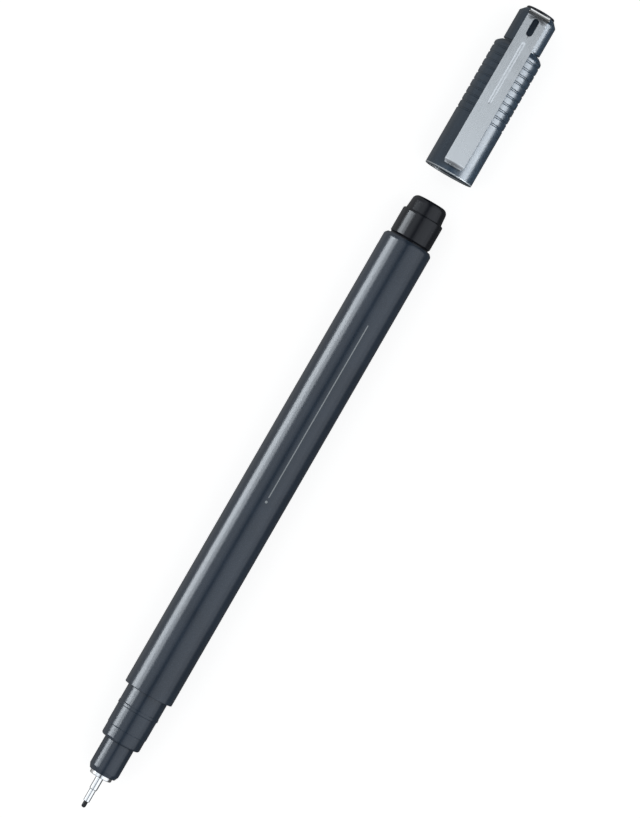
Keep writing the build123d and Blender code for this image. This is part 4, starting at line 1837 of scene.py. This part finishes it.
@dataclass
class Studio:
    """Floor, surroundings, lamps and camera.

    Lengths here are in metres. The ramps run over metres on the floor and over the parts of a
    direction in the surroundings. Mirrored means what only highlights and clear pieces see.
    """

    floor_size: float = 8.0
    floor_glow: float = 0.82
    floor_colour: Colour = (0.5, 0.5, 0.5)
    # Painted shade: in reflections the floor is painted dark beside the pen, fully on its right and
    # less on its left.
    painted_shade_floor: Colour = (0.04, 0.04, 0.04)
    painted_shade_near: Ramp = Ramp(0.03, 0.1, 0.85, 0.0)
    painted_shade_sides: Ramp = Ramp(-0.002, 0.002, 1.0, 0.45)
    cap_glow: Ramp = Ramp(0.0865, 0.0885, 0.0, 1.1)
    cap_glow_rear: Ramp = Ramp(0.100, 0.115, 1.0, 0.0)
    cap_glow_side: Ramp = Ramp(0.003, 0.006, 1.0, 0.0)
    left_glow: Ramp = Ramp(0.004, 0.016, 0.05, 0.42)
    outer_glow: Ramp = Ramp(0.04, 0.12, 0.0, 0.45)
    fill: float = 0.32
    overhead: Ramp = Ramp(0.05, 0.19, 0.06, 0.82)
    right_side: Ramp = Ramp(0.2, 0.95, 1.0, 1.3)
    left_side: Ramp = Ramp(0.35, 0.9, 1.0, 0.6)
    left_horizon: Ramp = Ramp(0.93, 0.99, 1.0, 1.8)
    dark_ends: Ramp = Ramp(0.2, 0.42, 0.0, 0.85)
    dark_ends_side: Ramp = Ramp(0.12, 0.32, 1.0, 0.0)
    dark_ends_share: Ramp = Ramp(-0.1, 0.1, 0.35, 1.0)
    white: Colour = (1.0, 1.0, 1.0)
    mirrored_sky: Colour = (0.95, 1.0, 1.07)
    camera_height: float = 0.7875
    lens: float = 185.0
    turn: float = -60.0
    aim: tuple[float, float] = (0.00088, -0.0012)

    def build(self, pen: Sequence[bpy.types.Object], cap: Sequence[bpy.types.Object]) -> None:
        """Sets up the studio.

        Args:
            pen: The pieces of the pen without its cap.
            cap: The pieces of the cap.
        """
        self.floor()
        self.surroundings()
        hung = [lamp.hang() for lamp in LAMPS]
        metal = [piece for piece in pen if piece.name in ("pen_nib_sleeve", "pen_tip_collar")]
        clip = [piece for piece in cap if piece.name == "cap_pocket_clip"]
        groups = {
            Lit.PEN: [piece for piece in pen if piece not in metal],
            Lit.TIP: metal,
            Lit.CAP_SHELL: [piece for piece in cap if piece not in clip],
            Lit.CAP: cap,
            Lit.CLIP: clip,
        }
        for lit, pieces in groups.items():
            self.only_for([p for p, lamp in zip(hung, LAMPS) if lamp.lit is lit], lit, pieces)
        self.camera()

    def mirrored(self, recipe: Recipe, path: bpy.types.Node) -> bpy.types.NodeSocket:
        """Returns 1 for glossy and transmission rays, and 0 for the rest."""
        seen = (path.outputs["Is Glossy Ray"], path.outputs["Is Transmission Ray"])
        return recipe.math("ADD", *seen, clamp=True)

    def floor(self) -> None:
        """Makes the white floor. It shows white and keeps the pen's soft shadow. In reflections it
        has painted shade beside the pen and glows in places.
        """
        bm = bmesh.new()
        bmesh.ops.create_grid(bm, x_segments=1, y_segments=1, size=self.floor_size / 2)
        piece = as_object("studio_floor", bm)
        material = bpy.data.materials.new("white_sweep")
        material.use_nodes = True
        material.node_tree.nodes.clear()
        recipe = Recipe(material.node_tree)
        path = recipe.add("LightPath")
        mirrored = self.mirrored(recipe, path)
        parts = recipe.add("SeparateXYZ", {0: recipe.add("TexCoord").outputs["Object"]})
        along, left = parts.outputs["X"], parts.outputs["Y"]
        aside = recipe.math("ABSOLUTE", left)
        # Painted shade: in reflections the floor is painted dark within a few centimetres of the
        # pen, where its shade falls.
        painted_shade = recipe.stretch(aside, self.painted_shade_near)
        painted_shade = recipe.math("MULTIPLY", painted_shade, recipe.stretch(left, self.painted_shade_sides))
        painted_shade = recipe.math("MULTIPLY", painted_shade, mirrored)
        ground = recipe.blend(painted_shade, self.floor_colour, self.painted_shade_floor)
        matt = recipe.add("BsdfDiffuse", {"Color": ground})
        direct = recipe.math("MULTIPLY", path.outputs["Is Camera Ray"], self.floor_glow)
        # Painted glow: in reflections a narrow strip of floor just behind the cap glows, giving the
        # clip's bend a bright line.
        behind = recipe.stretch(along, self.cap_glow)
        behind = recipe.math("MULTIPLY", behind, recipe.stretch(along, self.cap_glow_rear))
        behind = recipe.math("MULTIPLY", behind, recipe.stretch(aside, self.cap_glow_side))
        near = recipe.stretch(left, self.left_glow)
        open_floor = recipe.math("MAXIMUM", near, recipe.stretch(aside, self.outer_glow))
        bounced = recipe.math("MULTIPLY", mirrored, recipe.math("ADD", behind, open_floor))
        strength = recipe.math("ADD", direct, bounced)
        glow = recipe.add("Emission", {"Color": (*self.white, 1), "Strength": strength})
        lit = recipe.add("AddShader", {0: matt.outputs[0], 1: glow.outputs[0]})
        recipe.add("OutputMaterial", {"Surface": lit.outputs[0]})
        piece.data.materials.append(material)

    def surroundings(self) -> None:
        """Makes the pale surroundings, with a dark strip straight over the pen."""
        world = bpy.data.worlds.new("pale_studio")
        bpy.context.scene.world = world
        world.use_nodes = True
        world.node_tree.nodes.clear()
        recipe = Recipe(world.node_tree)
        way = recipe.add("TexCoord").outputs["Generated"]
        parts = recipe.add("SeparateXYZ", {0: way})
        left, along = parts.outputs["Y"], parts.outputs["X"]
        gap = recipe.stretch(recipe.math("ABSOLUTE", left), self.overhead)
        right = recipe.math("MULTIPLY", left, -1.0)
        gap = recipe.math("MULTIPLY", gap, recipe.stretch(right, self.right_side))
        gap = recipe.math("MULTIPLY", gap, recipe.stretch(left, self.left_side))
        gap = recipe.math("MULTIPLY", gap, recipe.stretch(left, self.left_horizon))
        ends = recipe.stretch(recipe.math("ABSOLUTE", along), self.dark_ends)
        aside = recipe.math("ABSOLUTE", left)
        ends = recipe.math("MULTIPLY", ends, recipe.stretch(aside, self.dark_ends_side))
        ends = recipe.math("MULTIPLY", ends, recipe.stretch(along, self.dark_ends_share))
        glossy = recipe.math("MULTIPLY", gap, recipe.math("SUBTRACT", 1.0, ends))
        path = recipe.add("LightPath")
        mirrored = self.mirrored(recipe, path)
        plain = recipe.math("MULTIPLY", recipe.math("SUBTRACT", 1.0, mirrored), self.fill)
        strength = recipe.math("ADD", plain, recipe.math("MULTIPLY", mirrored, glossy))
        strength = recipe.math("MAXIMUM", strength, path.outputs["Is Camera Ray"])
        tint = recipe.blend(mirrored, self.white, self.mirrored_sky)
        sky = recipe.add("Background", {"Color": tint, "Strength": strength})
        recipe.add("OutputWorld", {"Surface": sky.outputs[0]})

    def only_for(
        self, lamps: Sequence[bpy.types.Object], lit: Lit, pieces: Sequence[bpy.types.Object]
    ) -> None:
        """Lets some lamps light only some pieces.

        Args:
            lamps: The lamps.
            lit: What they light, which names the collection.
            pieces: The pieces in that collection.
        """
        group = bpy.data.collections.new(lit.value)
        for piece in pieces:
            group.objects.link(piece)
        for lamp in lamps:
            lamp.light_linking.receiver_collection = group

    def camera(self) -> None:
        """Hangs the camera straight over the pen, turned as the photograph is."""
        lens = bpy.data.cameras.new("overhead")
        lens.lens = self.lens
        lens.sensor_width = 36.0
        lens.clip_start, lens.clip_end = 0.05, 20.0
        camera = bpy.data.objects.new("overhead", lens)
        bpy.context.scene.collection.objects.link(camera)
        camera.location = (*self.aim, self.camera_height)
        camera.rotation_euler = (0, 0, math.radians(self.turn))
        bpy.context.scene.camera = camera


def main() -> None:
    """Builds the pen and its studio."""
    logging.basicConfig(level=logging.INFO, format="%(name)s: %(message)s")
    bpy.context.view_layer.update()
    bpy.context.scene.view_settings.view_transform = "Standard"
    paints = Paintbox()
    pen = FrontEnd(paints).build() + BarrelAssembly(paints).build()
    cap = CapAssembly(paints).build()
    Studio().build(pen, cap)


if __name__ == "__main__":
    main()
